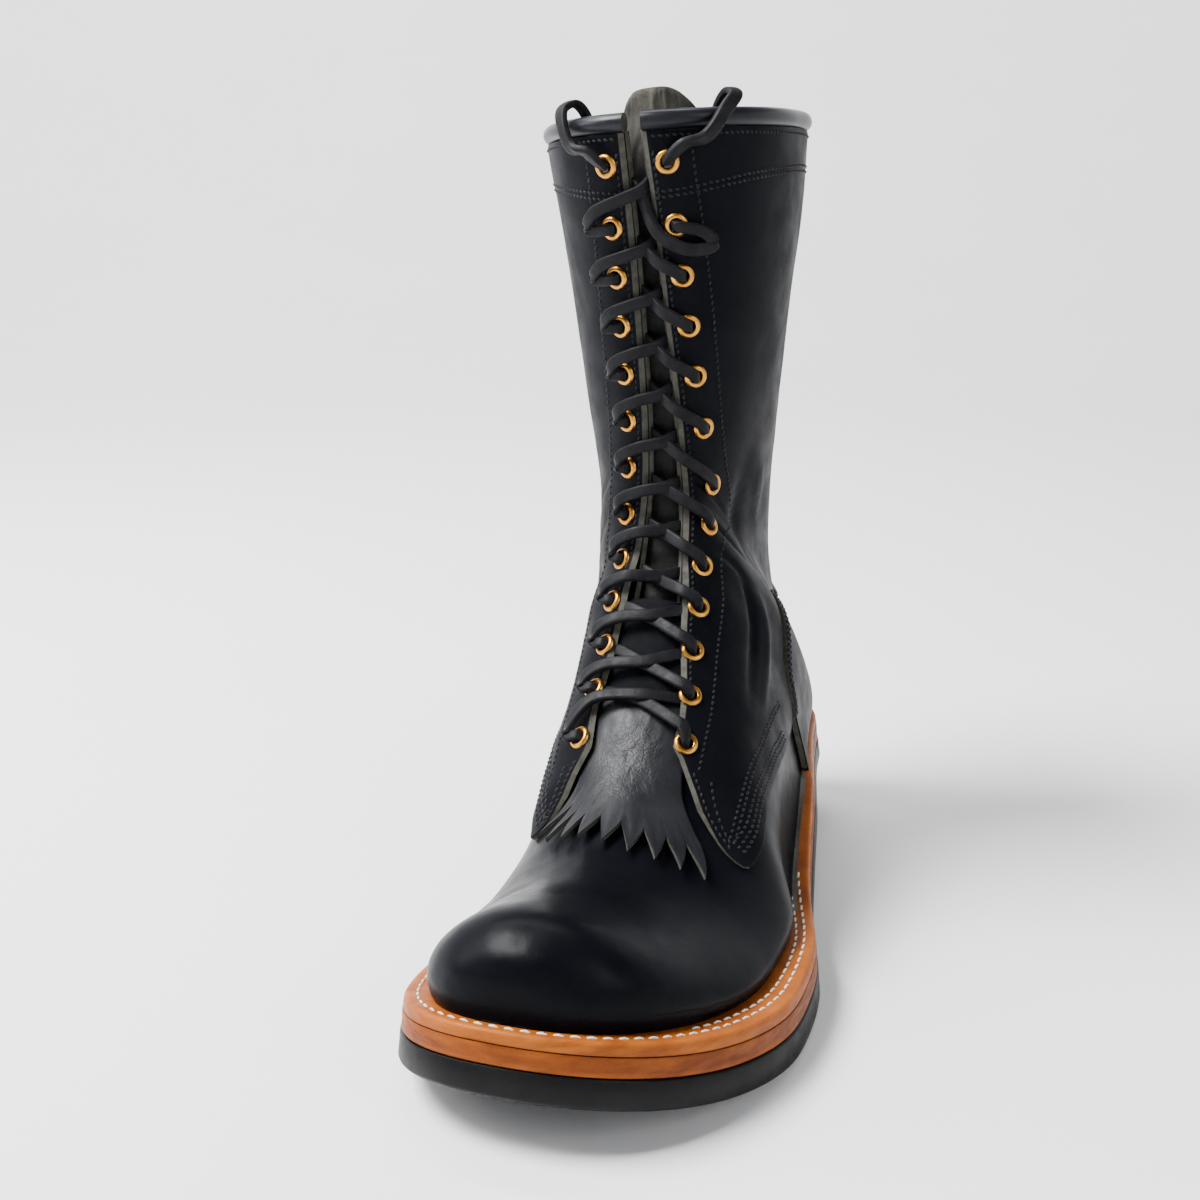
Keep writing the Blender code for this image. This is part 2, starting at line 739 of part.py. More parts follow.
climb = list(reversed(eyelet_rows))
first = [(s, half if k % 2 else -half) for k, (s, half) in enumerate(climb)]
second = [(s, -x) for s, x in first]
lace = lace_line("lace", first, boot)
paint(lace, (0.013, 0.013, 0.013), 0.6)
low_row, low_half = climb[0]
bar = [(low_row - 0.08, x) for x in (-low_half - 1.3, 0.0, low_half + 1.3)]
for name, stops, rise in (("lace_second", second, 0.0), ("lace_bar", bar, 0.15)):
    other = lace_line(name, stops, cutters, rise)
    other.hide_render = True
    other.display_type = "WIRE"
    join = lace.modifiers.new(name, "BOOLEAN")
    join.operation = "UNION"
    join.solver = "EXACT"
    join.object = other

# Lace ends: from the top eyelets out over the rolled edge and down into the shaft
for name, side, away in (("lace_end_lateral", 1, 19.0), ("lace_end_medial", -1, 15.5)):
    s, half = eyelet_rows[0]
    rim = 2 * ROLL_RADIUS + GAP + 0.6 + LACE_THICK
    stops = (
        # section, distance from the ridge, growth, extra height
        (s + 0.25, half + 0.12 * away, 6.6, 0.0),
        (COLLAR_ROW - 0.3, half + 0.5 * away, 6.6, 0.0),
        (COLLAR_ROW, half + 0.85 * away, 6.4, 5.5),
        (COLLAR_ROW, half + 1.0 * away, 3.2, rim),
        (COLLAR_ROW, half + 1.05 * away, -2.6, rim + 0.3),
        (COLLAR_ROW, half + 1.05 * away, -7.2, 5.5),
        (COLLAR_ROW - 0.3, half + 1.0 * away, -8.0, 0.0),
        (COLLAR_ROW - 0.9, half + 0.95 * away, -8.0, 0.0),
    )
    path = []
    up = []
    for s, x, grow, high in stops:
        t = share_at(s, x, side)
        path.append(upper_point(s, t, side, grow) + np.array((0, 0, high)))
        lean = min(max((grow + 2.6) / 9.2, -1.0), 1.0)
        up.append(outward(s, t, side) * lean + np.array((0, 0, 1.01 - abs(lean))))
    tail = cord(name, path, up, LACE_WIDTH, LACE_THICK, 6)
    paint(tail, (0.013, 0.013, 0.013), 0.6)
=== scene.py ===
import math

import bmesh
import bpy
import numpy as np
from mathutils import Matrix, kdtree


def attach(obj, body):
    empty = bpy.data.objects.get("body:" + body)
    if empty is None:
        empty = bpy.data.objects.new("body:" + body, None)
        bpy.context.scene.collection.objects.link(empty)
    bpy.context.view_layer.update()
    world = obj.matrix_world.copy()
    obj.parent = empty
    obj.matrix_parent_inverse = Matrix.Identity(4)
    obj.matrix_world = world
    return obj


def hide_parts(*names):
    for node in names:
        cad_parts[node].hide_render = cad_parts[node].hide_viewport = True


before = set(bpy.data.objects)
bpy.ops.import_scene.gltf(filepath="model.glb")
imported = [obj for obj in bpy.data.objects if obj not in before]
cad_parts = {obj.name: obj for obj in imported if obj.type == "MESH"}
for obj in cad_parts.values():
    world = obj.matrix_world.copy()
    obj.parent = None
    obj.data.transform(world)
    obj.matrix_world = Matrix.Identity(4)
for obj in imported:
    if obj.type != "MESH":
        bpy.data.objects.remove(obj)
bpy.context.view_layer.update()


# Outsole: one full-length slab of black rubber, cemented and sewn under the midsole.
# It rises to the toe and over the arch; its trimmed side has a slightly rough lower edge.
# Points are (x, d, z) in millimetres, d forward of the heel's back.
MM = 0.001
HEEL_MIDDLE = 44.0
SOLE_LENGTH = 310.0
HEEL_ROUND = 35.0
TOE_ROUND = 82.0
TOE_POWER = 2.25
TOE_SPRING = 18.0
BALL_FRONT = 222.0
BALL_BACK = 178.0
BREAST = 88.0
BREAST_LEAN = 7.0
HEEL_RISE = 25.0
SEAT_SLOPE = 0.05
OUTSOLE_FRONT = 10.0
OUTSOLE_BACK = 8.5
END_POINTS = 20
SOLE_WIDTHS = (
    # d, then how far the edge is from the middle line, lateral and medial
    (0, 33.5, 34.0), (45, 37.0, 36.0), (100, 47.0, 34.5), (150, 55.3, 41.0), (200, 66.5, 51.5), (232, 66.5, 54.5),
    (264, 61.5, 58.0), (310, 52.5, 65.5),
)


def smooth(table, at):
    """A table's later columns where its first column is `at`, along a smooth curve."""
    rows = np.array(table, dtype=float)
    keys, values = rows[:, 0], rows[:, 1:]
    slopes = np.gradient(values, keys, axis=0)
    at = np.asarray(at, dtype=float)
    i = np.clip(np.searchsorted(keys, at) - 1, 0, len(keys) - 2)
    step = (keys[i + 1] - keys[i])[..., None]
    u = (at - keys[i])[..., None] / step
    return (
        (2 * u**3 - 3 * u**2 + 1) * values[i]
        + (u**3 - 2 * u**2 + u) * step * slopes[i]
        + (3 * u**2 - 2 * u**3) * values[i + 1]
        + (u**3 - u**2) * step * slopes[i + 1]
    )


def ease(low, high, at):
    """From 0 at `low` to 1 at `high`, level at both ends."""
    u = np.clip((np.asarray(at, dtype=float) - low) / (high - low), 0.0, 1.0)
    return u * u * (3 - 2 * u)


def sole_sides(d, lateral_in, medial_in, toe_in, heel_in):
    """The outline's two edges at d, for an outline drawn in by the given margins."""
    along = (d - heel_in) / (SOLE_LENGTH - heel_in - toe_in) * SOLE_LENGTH
    lateral, medial = np.moveaxis(smooth(SOLE_WIDTHS, along), -1, 0)
    middle = (lateral - medial) / 2
    half = (lateral + medial) / 2
    back = np.clip((HEEL_ROUND - along) / HEEL_ROUND, 0, 1)
    front = np.clip((along - SOLE_LENGTH + TOE_ROUND) / TOE_ROUND, 0, 1)
    full = np.sqrt(1 - back**2) * (1 - front**TOE_POWER) ** (1 / TOE_POWER)
    return middle + (half - lateral_in) * full, middle - (half - medial_in) * full


def tread(d):
    """Height of the outsole's underside."""
    toe = TOE_SPRING * (np.maximum(d - BALL_FRONT, 0) / (SOLE_LENGTH - BALL_FRONT)) ** 1.9
    return toe + HEEL_RISE * ease(0, BALL_BACK - BREAST, BALL_BACK - d) + SEAT_SLOPE * np.maximum(0, BREAST - d)


def outsole_top(d):
    return tread(d) + OUTSOLE_FRONT + (OUTSOLE_BACK - OUTSOLE_FRONT) * ease(0, 90, BALL_BACK - d)


def closed(lateral, medial, d, level):
    """A closed loop from its two edges: up the lateral one and back down the medial one."""
    left = np.stack((lateral, d, level), axis=-1)
    right = np.stack((medial, d, level), axis=-1)
    return np.concatenate((left, right[-2:0:-1]))


def ring(inset, height, end=None, stations=110):
    """A closed loop of a sole layer, up to the toe or to a straight end."""
    turn = np.linspace(0, math.pi, stations)
    if end is None:
        way, stop = (1 - np.cos(turn)) / 2, SOLE_LENGTH - inset
    else:
        bent = turn[:stations - END_POINTS]
        way, stop = np.concatenate((1 - np.cos(bent / bent[-1] * math.pi / 2), np.ones(END_POINTS))), end
    d = inset + (stop - inset) * way
    lateral, medial = sole_sides(d, inset, inset, inset, inset)
    if end is not None:
        across = np.linspace(0, 1, END_POINTS + 1)[1:]
        middle = (lateral[-1] + medial[-1]) / 2
        for edge in (lateral, medial):
            edge[-END_POINTS:] += (middle - edge[-END_POINTS:]) * across
    return closed(lateral, medial, d, height(d))


def rings(rows):
    """Loops from rows of inset, level, and height above that level."""
    return [ring(inset, lambda d, level=level, above=above: level(d) + above) for inset, level, above in rows]


def piece(name, points, faces, finishes, which=None, tone=None, sharp=50):
    """A piece of the boot from points and faces; `tone` is a value a finish may read at each point."""
    mesh = bpy.data.meshes.new(name)
    world = np.array(points, dtype=float) * MM
    world[:, 1] = HEEL_MIDDLE * MM - world[:, 1]
    mesh.from_pydata(world.tolist(), [], [[int(i) for i in face] for face in faces])
    for look in finishes:
        mesh.materials.append(look)
    if which is not None:
        mesh.polygons.foreach_set("material_index", np.asarray(which, dtype=np.int32))
    if tone is not None:
        values = mesh.attributes.new("tone", "FLOAT", "POINT").data
        values.foreach_set("value", np.asarray(tone, dtype=np.float32))
    work = bmesh.new()
    work.from_mesh(mesh)
    bmesh.ops.remove_doubles(work, verts=work.verts, dist=1e-6)
    bmesh.ops.recalc_face_normals(work, faces=work.faces)
    work.to_mesh(mesh)
    work.free()
    mesh.shade_smooth()
    mesh.set_sharp_from_angle(angle=math.radians(sharp))
    obj = bpy.data.objects.new(name, mesh)
    bpy.context.scene.collection.objects.link(obj)
    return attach(obj, "root")


def bands(loops, count, wrap=False):
    """Faces between loops of `count` points, each joined to the next and, if wrapped, the last to the first."""
    j = np.arange(count)
    n = (j + 1) % count
    faces = []
    for k in range(loops if wrap else loops - 1):
        low, high = k * count, (k + 1) % loops * count
        faces += np.stack((low + j, low + n, high + n, high + j), axis=-1).tolist()
    return faces


def layer(name, loops, finishes, hollow=False, tones=None):
    """A sole layer from its loops: capped below and above, or a hollow frame."""
    count = len(loops[0])
    faces = bands(len(loops), count, hollow)
    if not hollow:
        half = count // 2
        for start in (0, (len(loops) - 1) * count):
            for i in range(half):
                loop = (i, i + 1, (count - i - 1) % count, (count - i) % count)
                faces.append([start + k for k in dict.fromkeys(loop)])
    tone = None if tones is None else np.repeat(tones, count)
    return piece(name, np.concatenate(loops), faces, finishes, tone=tone)


def finish(name, colours, patch=60, stretch=(1, 1, 1), rough=(0.4, 0.5), grain=(900, 0.1), crumb=None,
           metal=0.0, sheen=0.0, specular=0.5, tone=None, flecks=None, creases=None):
    """A finish: patches between two colours, roughness that wanders, and one or two scales of relief."""
    material = bpy.data.materials.new(name)
    material.use_nodes = True
    nodes = material.node_tree.nodes

    def fed(node, inputs):
        """The node, with its inputs set to values or linked to other nodes' outputs."""
        for key, value in inputs.items():
            if isinstance(value, bpy.types.NodeSocket):
                material.node_tree.links.new(value, node.inputs[key])
            else:
                node.inputs[key].default_value = value
        return node

    place = nodes.new("ShaderNodeTexCoord").outputs["Object"]
    place = fed(nodes.new("ShaderNodeMapping"), {"Vector": place, "Scale": stretch}).outputs["Vector"]

    def noise(size, detail):
        inputs = {"Vector": place, "Scale": size, "Detail": detail, "Roughness": 0.55}
        return fed(nodes.new("ShaderNodeTexNoise"), inputs).outputs["Fac"]

    def ramp(value, stops):
        node = fed(nodes.new("ShaderNodeValToRGB"), {"Fac": value})
        for at, _ in stops[2:]:
            node.color_ramp.elements.new(at)
        for element, (at, colour) in zip(node.color_ramp.elements, sorted(stops)):
            element.position = at
            element.color = (*colour, 1)
        return node.outputs["Color"]

    def mix(factor, first, second, blend="MIX"):
        node = nodes.new("ShaderNodeMix")
        node.data_type = "RGBA"
        node.blend_type = blend
        return fed(node, {0: factor, 6: first, 7: second}).outputs[2]

    def tone_value():
        node = nodes.new("ShaderNodeAttribute")
        node.attribute_name = "tone"
        return node.outputs["Fac"]

    def relief(value, height, before):
        inputs = {"Height": value, "Strength": 1.0, "Distance": height * MM}
        if before is not None:
            inputs["Normal"] = before
        return fed(nodes.new("ShaderNodeBump"), inputs).outputs["Normal"]

    colour = ramp(noise(patch, 6), ((0.32, colours[0]), (0.68, colours[1])))
    if tone is not None:
        colour = mix(1.0, colour, ramp(tone_value(), tone), "MULTIPLY")
    if flecks is not None:
        size, amount, fleck = flecks
        dots = ramp(noise(size, 2), ((1 - amount, (0, 0, 0)), (1 - amount + 0.06, (1, 1, 1))))
        colour = mix(dots, colour, (*fleck, 1.0))
    span = fed(nodes.new("ShaderNodeMapRange"), {
        "Value": noise(patch * 2.3, 5), "From Min": 0.35, "From Max": 0.65, "To Min": rough[0], "To Max": rough[1]})
    normal = relief(noise(grain[0], 3), grain[1], None)
    if crumb is not None:
        normal = relief(noise(crumb[0], 3), crumb[1], normal)
    if creases is not None:
        size, height = creases
        wander = fed(nodes.new("ShaderNodeTexNoise"), {"Vector": place, "Scale": size * 0.8})
        bend = nodes.new("ShaderNodeVectorMath")
        bend.operation = "MULTIPLY_ADD"
        fed(bend, {0: wander.outputs["Color"], 1: (1.6 / size,) * 3, 2: place})
        cells = nodes.new("ShaderNodeTexVoronoi")
        cells.feature = "DISTANCE_TO_EDGE"
        fed(cells, {"Vector": bend.outputs["Vector"], "Scale": size})
        depth = fed(nodes.new("ShaderNodeMapRange"), {"Value": cells.outputs["Distance"], "From Max": 0.16})
        masked = nodes.new("ShaderNodeMath")
        masked.operation = "MULTIPLY"
        fed(masked, {0: depth.outputs["Result"], 1: tone_value()})
        normal = relief(masked.outputs["Value"], height, normal)
    fed(nodes["Principled BSDF"], {
        "Base Color": colour, "Roughness": span.outputs["Result"], "Normal": normal,
        "Metallic": metal, "Sheen Weight": sheen, "Specular IOR Level": specular})
    return material


rubber = finish("rubber", ((0.0022, 0.0022, 0.0026), (0.0045, 0.0045, 0.005)), 40, rough=(0.36, 0.5),
                grain=(1500, 0.05), crumb=(220, 0.06), specular=0.09, flecks=(620, 0.20, (0.05, 0.05, 0.05)))
outsole = layer("outsole_rubber", rings((
    (2.0, tread, 0.0), (1.0, tread, 0.15), (0.3, tread, 0.7), (0.0, tread, 1.6),
    (0.4, lambda d: (tread(d) + outsole_top(d)) / 2, 0.0),
    (0.8, outsole_top, -0.7), (1.2, outsole_top, -0.15), (2.2, outsole_top, 0.0),
)), [rubber])
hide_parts("outsole")


# Midsole and welt: a slab and a strip of tan sole leather, pressed together and trimmed almost flush.
# A row of pale thread sews the welt down round the forefoot, and a second one runs along the wide outer side.
MIDSOLE = 6.4
WELT = 4.2
WELT_WIDTH = 21.0
GAP = 0.3
WELT_ROWS = (6.3, 9.3)
THREAD_END = 150.0
SECOND_ROW_END = 272.0
THREAD_LIFT = 0.12
# A stitch's length, the gap to the next, its thickness and its slant.
WELT_SEWING = (3.7, 1.0, 0.85, 0.1)
SOLE_GRAIN = (1, 1, 4)


def midsole_top(d):
    return outsole_top(d) + GAP + MIDSOLE


def welt_top(d):
    return midsole_top(d) + GAP + WELT


def unit(vectors):
    return vectors / np.linalg.norm(vectors, axis=-1)[..., None]


def run_along(points):
    """Distances along a line of points, from its first."""
    return np.concatenate(((0,), np.cumsum(np.linalg.norm(np.diff(points, axis=0), axis=1))))


def read_off(at, run, values):
    """Rows of `values` at distances `at` along a run."""
    return np.stack([np.interp(at, run, column) for column in values.T], axis=-1)


def stitches(name, runs, long, gap, thick, slant, finishes):
    """Thread along runs of (points, normals): short stitches that dip into the leather at both ends."""
    along = np.array((-1.0, -0.72, 0.0, 0.72, 1.0))
    full = np.array((0.5, 0.9, 1.0, 0.9, 0.5))[:, None]
    sink = -1.15 * np.abs(along) ** 3
    sides = 6
    turn = 2 * math.pi * np.arange(sides) / sides
    lift = np.sin(turn) * thick * 0.42 * full + (sink * thick * 0.8)[:, None] + thick * 0.12
    points = []
    for path, up in runs:
        run = run_along(path)
        count = int((run[-1] - long) / (long + gap)) + 1
        at = long / 2 + np.arange(count) * (run[-1] - long) / max(count - 1, 1)
        ahead = unit(read_off(at + 0.4, run, path) - read_off(at - 0.4, run, path))
        high = read_off(at, run, up)
        high = unit(high - ahead * np.sum(high * ahead, axis=1)[:, None])
        lean = ahead * math.cos(slant) + np.cross(high, ahead) * math.sin(slant)
        wide = np.cross(high, lean)
        spot = read_off(at, run, path)[:, None, None] + lean[:, None, None] * (along * long / 2)[:, None, None]
        spot = spot + wide[:, None, None] * (np.cos(turn) * thick * 0.5 * full)[..., None]
        points.append((spot + high[:, None, None] * lift[..., None]).reshape(-1, 3))
    points = np.concatenate(points)
    each = sides * len(along)
    one = bands(len(along), sides) + [list(range(sides)), list(range(each - sides, each))]
    faces = [[k + i for i in face] for k in range(0, len(points), each) for face in one]
    return piece(name, points, faces, finishes, sharp=80)


sole_edge = finish("sole_leather_edge", ((0.115, 0.024, 0.002), (0.23, 0.057, 0.0048)), 75, SOLE_GRAIN, (0.42, 0.6),
                   (700, 0.10), (2600, 0.05), specular=0.12, flecks=(900, 0.34, (0.055, 0.014, 0.003)),
                   tone=((0.0, (1.25, 1.3, 1.4)), (0.12, (1.12, 1.1, 1.1)), (0.3, (0.86, 0.82, 0.78)),
                         (1.0, (1.0, 1.0, 1.0))))
midsole = layer("midsole_leather", rings((
    (2.4, outsole_top, 0.05), (1.5, outsole_top, 0.35), (1.2, outsole_top, 0.9), (1.4, outsole_top, 2.2),
    (1.6, midsole_top, -0.7), (1.9, midsole_top, -0.1), (2.8, midsole_top, 0.0),
)), [sole_edge], tones=(0.0, 0.02, 0.08, 0.3, 0.75, 0.6, 0.5))
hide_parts("midsole")

welt_edge = finish("welt_leather", ((0.19, 0.043, 0.0034), (0.33, 0.088, 0.008)), 70, SOLE_GRAIN, (0.4, 0.58),
                   (650, 0.10), (2400, 0.05), specular=0.12, flecks=(1100, 0.30, (0.09, 0.024, 0.005)),
                   tone=((0.0, (0.7, 0.66, 0.62)), (0.2, (1.0, 1.0, 1.0)), (0.7, (1.06, 1.06, 1.08)),
                         (1.0, (0.92, 0.9, 0.88))))
welt = layer("welt_leather", rings((
    (2.8, midsole_top, 0.05), (2.0, midsole_top, 0.3), (1.9, midsole_top, 1.3), (2.2, welt_top, -1.3),
    (2.6, welt_top, -0.5), (3.3, welt_top, -0.1), (4.3, welt_top, 0.0), (12.0, welt_top, 0.0),
    (WELT_WIDTH, welt_top, 0.0), (WELT_WIDTH, midsole_top, GAP),
)), [welt_edge], hollow=True, tones=(0.0, 0.1, 0.3, 0.6, 0.7, 0.8, 0.9, 1.0, 1.0, 0.0))
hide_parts("welt")

thread = finish("pale_thread", ((0.50, 0.46, 0.38), (0.68, 0.64, 0.55)), 400, rough=(0.6, 0.75),
                grain=(4000, 0.06), sheen=0.3)
rows = []
for inset in WELT_ROWS:
    loop = ring(inset, welt_top, stations=400)
    loop = loop[loop[:, 1] > THREAD_END]
    if inset == max(WELT_ROWS):
        loop = loop[(loop[:, 0] > 0) & (loop[:, 1] < SECOND_ROW_END)]
    rows.append((loop + (0, 0, THREAD_LIFT), np.tile((0.0, 0.0, 1.0), (len(loop), 1))))
welt_thread = stitches("welt_thread", rows, *WELT_SEWING, [thread])


# Heel: lifts of tan sole leather, glued and pegged into a stack, over one black rubber top piece.
# The lifts show as fine dark lines round the trimmed side; the straight front face leans under the arch.
LIFT = 12.4
LIFTS = 3

stack_leather = finish("heel_stack_leather", ((0.115, 0.024, 0.003), (0.21, 0.051, 0.0065)), 75, SOLE_GRAIN,
                       (0.36, 0.52), (700, 0.1), (2400, 0.05), specular=0.12,
                       flecks=(900, 0.30, (0.055, 0.014, 0.003)),
                       tone=((0.0, (0.42, 0.38, 0.34)), (0.3, (0.95, 0.95, 0.95)), (0.7, (1.08, 1.08, 1.08)),
                             (1.0, (0.9, 0.88, 0.85))))
loops = []
tones = []
for k in range(LIFTS):
    for part, draw, tone in ((0.02, 0.55, 0.0), (0.10, 0.1, 0.3), (0.5, 0.0, 0.8), (0.90, 0.1, 0.6), (0.98, 0.5, 0.0)):
        up = (k + part) / LIFTS
        loops.append(ring(2.9 - 1.5 * up + draw, lambda d: (LIFT + GAP) * (1 - up) + (tread(d) - 0.05) * up,
                          BREAST - BREAST_LEAN / 2 * (1 - up) - draw))
        tones.append(tone)
heel_stack = layer("heel_stack_lifts", loops, [stack_leather], tones=tones)
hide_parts("heel_stack")

heel_lift = layer("heel_top_piece", [
    ring(draw, lambda d, z=z: np.full_like(d, z), BREAST - BREAST_LEAN * (1 - z / LIFT / 2) - draw + 3.0)
    for draw, z in ((4.6, 0.0), (3.8, 0.15), (3.3, 0.9), (3.1, 2.2), (3.0, LIFT - 0.6), (3.4, LIFT))
], [rubber])
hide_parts("heel_lift")


# Upper: the vamp and shaft, one shell of smooth black box-side leather lasted over a bulbous toe.
# Its flesh side is left grey-brown inside; soft folds have formed at the ankle and the instep.
# The form runs over sections s (0 toe, 21 collar) and shares t (0 front ridge, 1 welt or back seam).
WALL = 2.0
TOE_MARGIN = 9.5
HEEL_MARGIN = 4.5
BULGE = 2.0
HEEL_ROW = 13
COLLAR_ROW = 21
COLLAR_TILT = 0.06
THROAT_ROW = 8.2
THROAT_GAPS = ((5, 14.0), (8, 14.0), (10, 10.0), (13, 7.0), (17, 5.0), (21, 3.2))
UPPER_MARGINS = (
    # d, then how far the upper's foot stands in from the sole's edge, lateral and medial
    (0, 4.5, 4.5), (40, 7.0, 4.3), (90, 7.0, 4.0), (150, 8.3, 6.0), (200, 12.8, 9.5), (250, 13.0, 11.0),
    (310, 11.0, 12.0),
)
THROAT_COLUMNS = 8
THROAT_TUCK = 1.2
TOE_LINING = -0.245
TOE_LINING_IN = 0.004
FOOT_EDGE = 0.075
UPPER_SECTIONS = (
    # front x, d, z; back x, d, z; lateral and medial half widths; where it is widest; two roundings
    (-4, 300.5, 36, -4, 300.5, 0, 0, 0, 0.80, 1.9, 2),
    (-4, 298.8, 49, -4, 298.8, 0, 0, 0, 0.80, 1.9, 2),
    (-4.5, 293.5, 56.5, -4, 293.5, 0, 0, 0, 0.80, 1.85, 2),
    (-5, 282, 61.6, -4, 282, 0, 0, 0, 0.81, 1.75, 2),
    (-4.8, 264, 59.6, -3, 264, 0, 0, 0, 0.84, 1.48, 2),
    (-4, 241, 54.6, -1, 241, 0, 0, 0, 0.85, 1.4, 2),
    (-4, 216, 57.2, 1, 214, 0, 0, 0, 0.86, 1.36, 2),
    (-4.8, 193, 69.2, 1, 189, 0, 0, 0, 0.84, 1.45, 2),
    (-5.5, 172.5, 88.5, 0.5, 162, 0, 46, 42, 0.77, 1.75, 2),
    (-6.5, 160.5, 100, -0.5, 131, 0, 42, 39.2, 0.72, 1.85, 2),
    (-8, 148.5, 114, -1, 98, 0, 39, 39, 0.68, 1.85, 2),
    (-9, 138.5, 127, -1, 60, 0, 36.5, 39.6, 0.62, 1.9, 2.1),
    (-9.8, 131, 140.5, -1, 24, 0, 34.3, 40.4, 0.55, 1.95, 2.2),
    (-10.2, 127, 152, -1, 4.5, 0, 26.8, 41, 0.51, 2, 2.2),
    (-10.5, 125.5, 162, -3.5, 2.5, 75, 19.6, 40, 0.50, 2, 2.2),
    (-10.8, 125.8, 173.5, -8.5, 8, 104, 20.5, 37.8, 0.50, 2, 2.2),
    (-11.2, 127.3, 188, -13, 15, 132, 25.5, 37.4, 0.50, 2, 2.2),
    (-12, 130, 204.5, -17, 19.5, 162, 31.2, 38, 0.51, 2, 2.2),
    (-13, 133.5, 224, -20, 21, 195, 36.5, 39, 0.52, 2, 2.2),
    (-14, 138, 245.5, -22, 19.5, 229, 41, 41.2, 0.53, 2, 2.2),
    (-15.2, 143, 266.5, -23, 16.5, 260, 45, 43.8, 0.54, 2, 2.2),
    (-16.5, 148, 286.5, -24, 13, 289, 47, 46.6, 0.55, 2, 2.2),
    (-17.5, 153, 310, -25, 10, 320, 49, 49, 0.55, 2, 2.2),
)
FOLDS = (
    # side, height, breadth, then the line as s, t pairs
    (1, -2.4, 5.0, ((12.0, 0.25), (11.4, 0.275), (10.4, 0.285), (9.3, 0.28))),
    (1, 1.5, 6.0, ((12.0, 0.30), (11.2, 0.325), (10.2, 0.335), (9.4, 0.33))),
    (1, -1.5, 8.0, ((16.2, 0.40), (15.0, 0.36), (14.0, 0.33), (13.0, 0.32))),
    (1, 1.2, 9.0, ((16.3, 0.46), (15.6, 0.47), (14.8, 0.46))),
    (1, -0.9, 4.0, ((13.4, 0.15), (13.2, 0.22), (12.8, 0.30))),
    (1, -0.9, 4.0, ((12.2, 0.16), (12.2, 0.22), (11.9, 0.28))),
    (1, -0.7, 3.5, ((14.5, 0.14), (14.4, 0.22), (14.1, 0.30))),
    (1, -0.7, 5.0, ((13.6, 0.36), (13.2, 0.42), (12.5, 0.47))),
    (-1, -1.8, 6.0, ((12.2, 0.26), (11.4, 0.28), (10.4, 0.30), (9.4, 0.29))),
    (-1, 1.2, 7.0, ((12.0, 0.33), (11.0, 0.35), (10.0, 0.35))),
    (-1, -1.3, 8.0, ((16.0, 0.36), (15.0, 0.38), (14.0, 0.40), (13.0, 0.40))),
    (-1, -0.8, 4.0, ((13.3, 0.20), (13.1, 0.28), (12.7, 0.36))),
    (-1, -0.8, 4.0, ((14.6, 0.19), (14.4, 0.27), (14.0, 0.36))),
)


def feather(d):
    """Where the foot of the upper meets the welt: its two edges at d and its height."""
    margins = smooth(UPPER_MARGINS, d)
    d = np.asarray(d, dtype=float)
    lateral, medial = sole_sides(d, margins[..., 0], margins[..., 1], TOE_MARGIN, HEEL_MARGIN)
    return lateral, medial, welt_top(d) + GAP + 0.1


def spread(*values):
    """Values brought to one common shape."""
    return np.broadcast_arrays(*(np.asarray(value, dtype=float) for value in values))


sections = np.array(UPPER_SECTIONS, dtype=float)
foot = feather(sections[: HEEL_ROW + 1, 4])
sections[: HEEL_ROW + 1, 5] = foot[2]
for i in range(HEEL_ROW + 1):
    if sections[i, 6] == 0:
        sections[i, 6] = foot[0][i] - sections[i, 3] + BULGE * min(1, i / 2)
        sections[i, 7] = sections[i, 3] - foot[1][i] + BULGE * min(1, i / 2)
sections[0, 2] = sections[0, 5]
sections = np.column_stack((np.arange(len(sections)), sections))


def form(s, t, side):
    """The upper's outer form as points (x, d, z)."""
    s, t, side = spread(s, t, side)
    ringed = s >= HEEL_ROW
    side = np.where((t < 0) | ((t > 1) & ringed), -side, side)
    t = np.abs(t)
    t = np.where(t > 1, np.where(ringed, 2 - t, 1.0), t)
    fx, fd, fz, bx, bd, bz, lateral, medial, widest, front, back = np.moveaxis(smooth(sections, s), -1, 0)
    half = np.where(side > 0, lateral, medial)
    edges = feather(bd)
    bz = np.where(ringed, bz, edges[2])
    end = np.where(ringed, 0.0, np.abs(np.where(side > 0, edges[0], edges[1]) - bx))
    reach = np.clip(np.sin(math.pi * np.minimum(t, 0.5)), 0, 1) ** (2 / front)
    soft = (np.sqrt(reach**2 + 0.0064) - 0.08) / (math.sqrt(1.0064) - 0.08)
    down_front = widest * (1 - np.clip(1 - soft**front, 0, 1) ** (1 / front))
    turn = math.pi * np.maximum(t - 0.5, 0)
    out_back = end + (half - end) * np.clip(np.cos(turn), 0, 1) ** (2 / back)
    down_back = widest + (1 - widest) * np.clip(np.sin(turn), 0, 1) ** (2 / back)
    out = np.where(t <= 0.5, half * reach, out_back)
    down = np.where(t <= 0.5, down_front, down_back)
    tilt = COLLAR_TILT * ease(HEEL_ROW + 2, COLLAR_ROW, s)
    return np.stack((fx + (bx - fx) * down + side * out, fd + (bd - fd) * down,
                     fz + (bz - fz) * down + side * out * tilt), axis=-1)


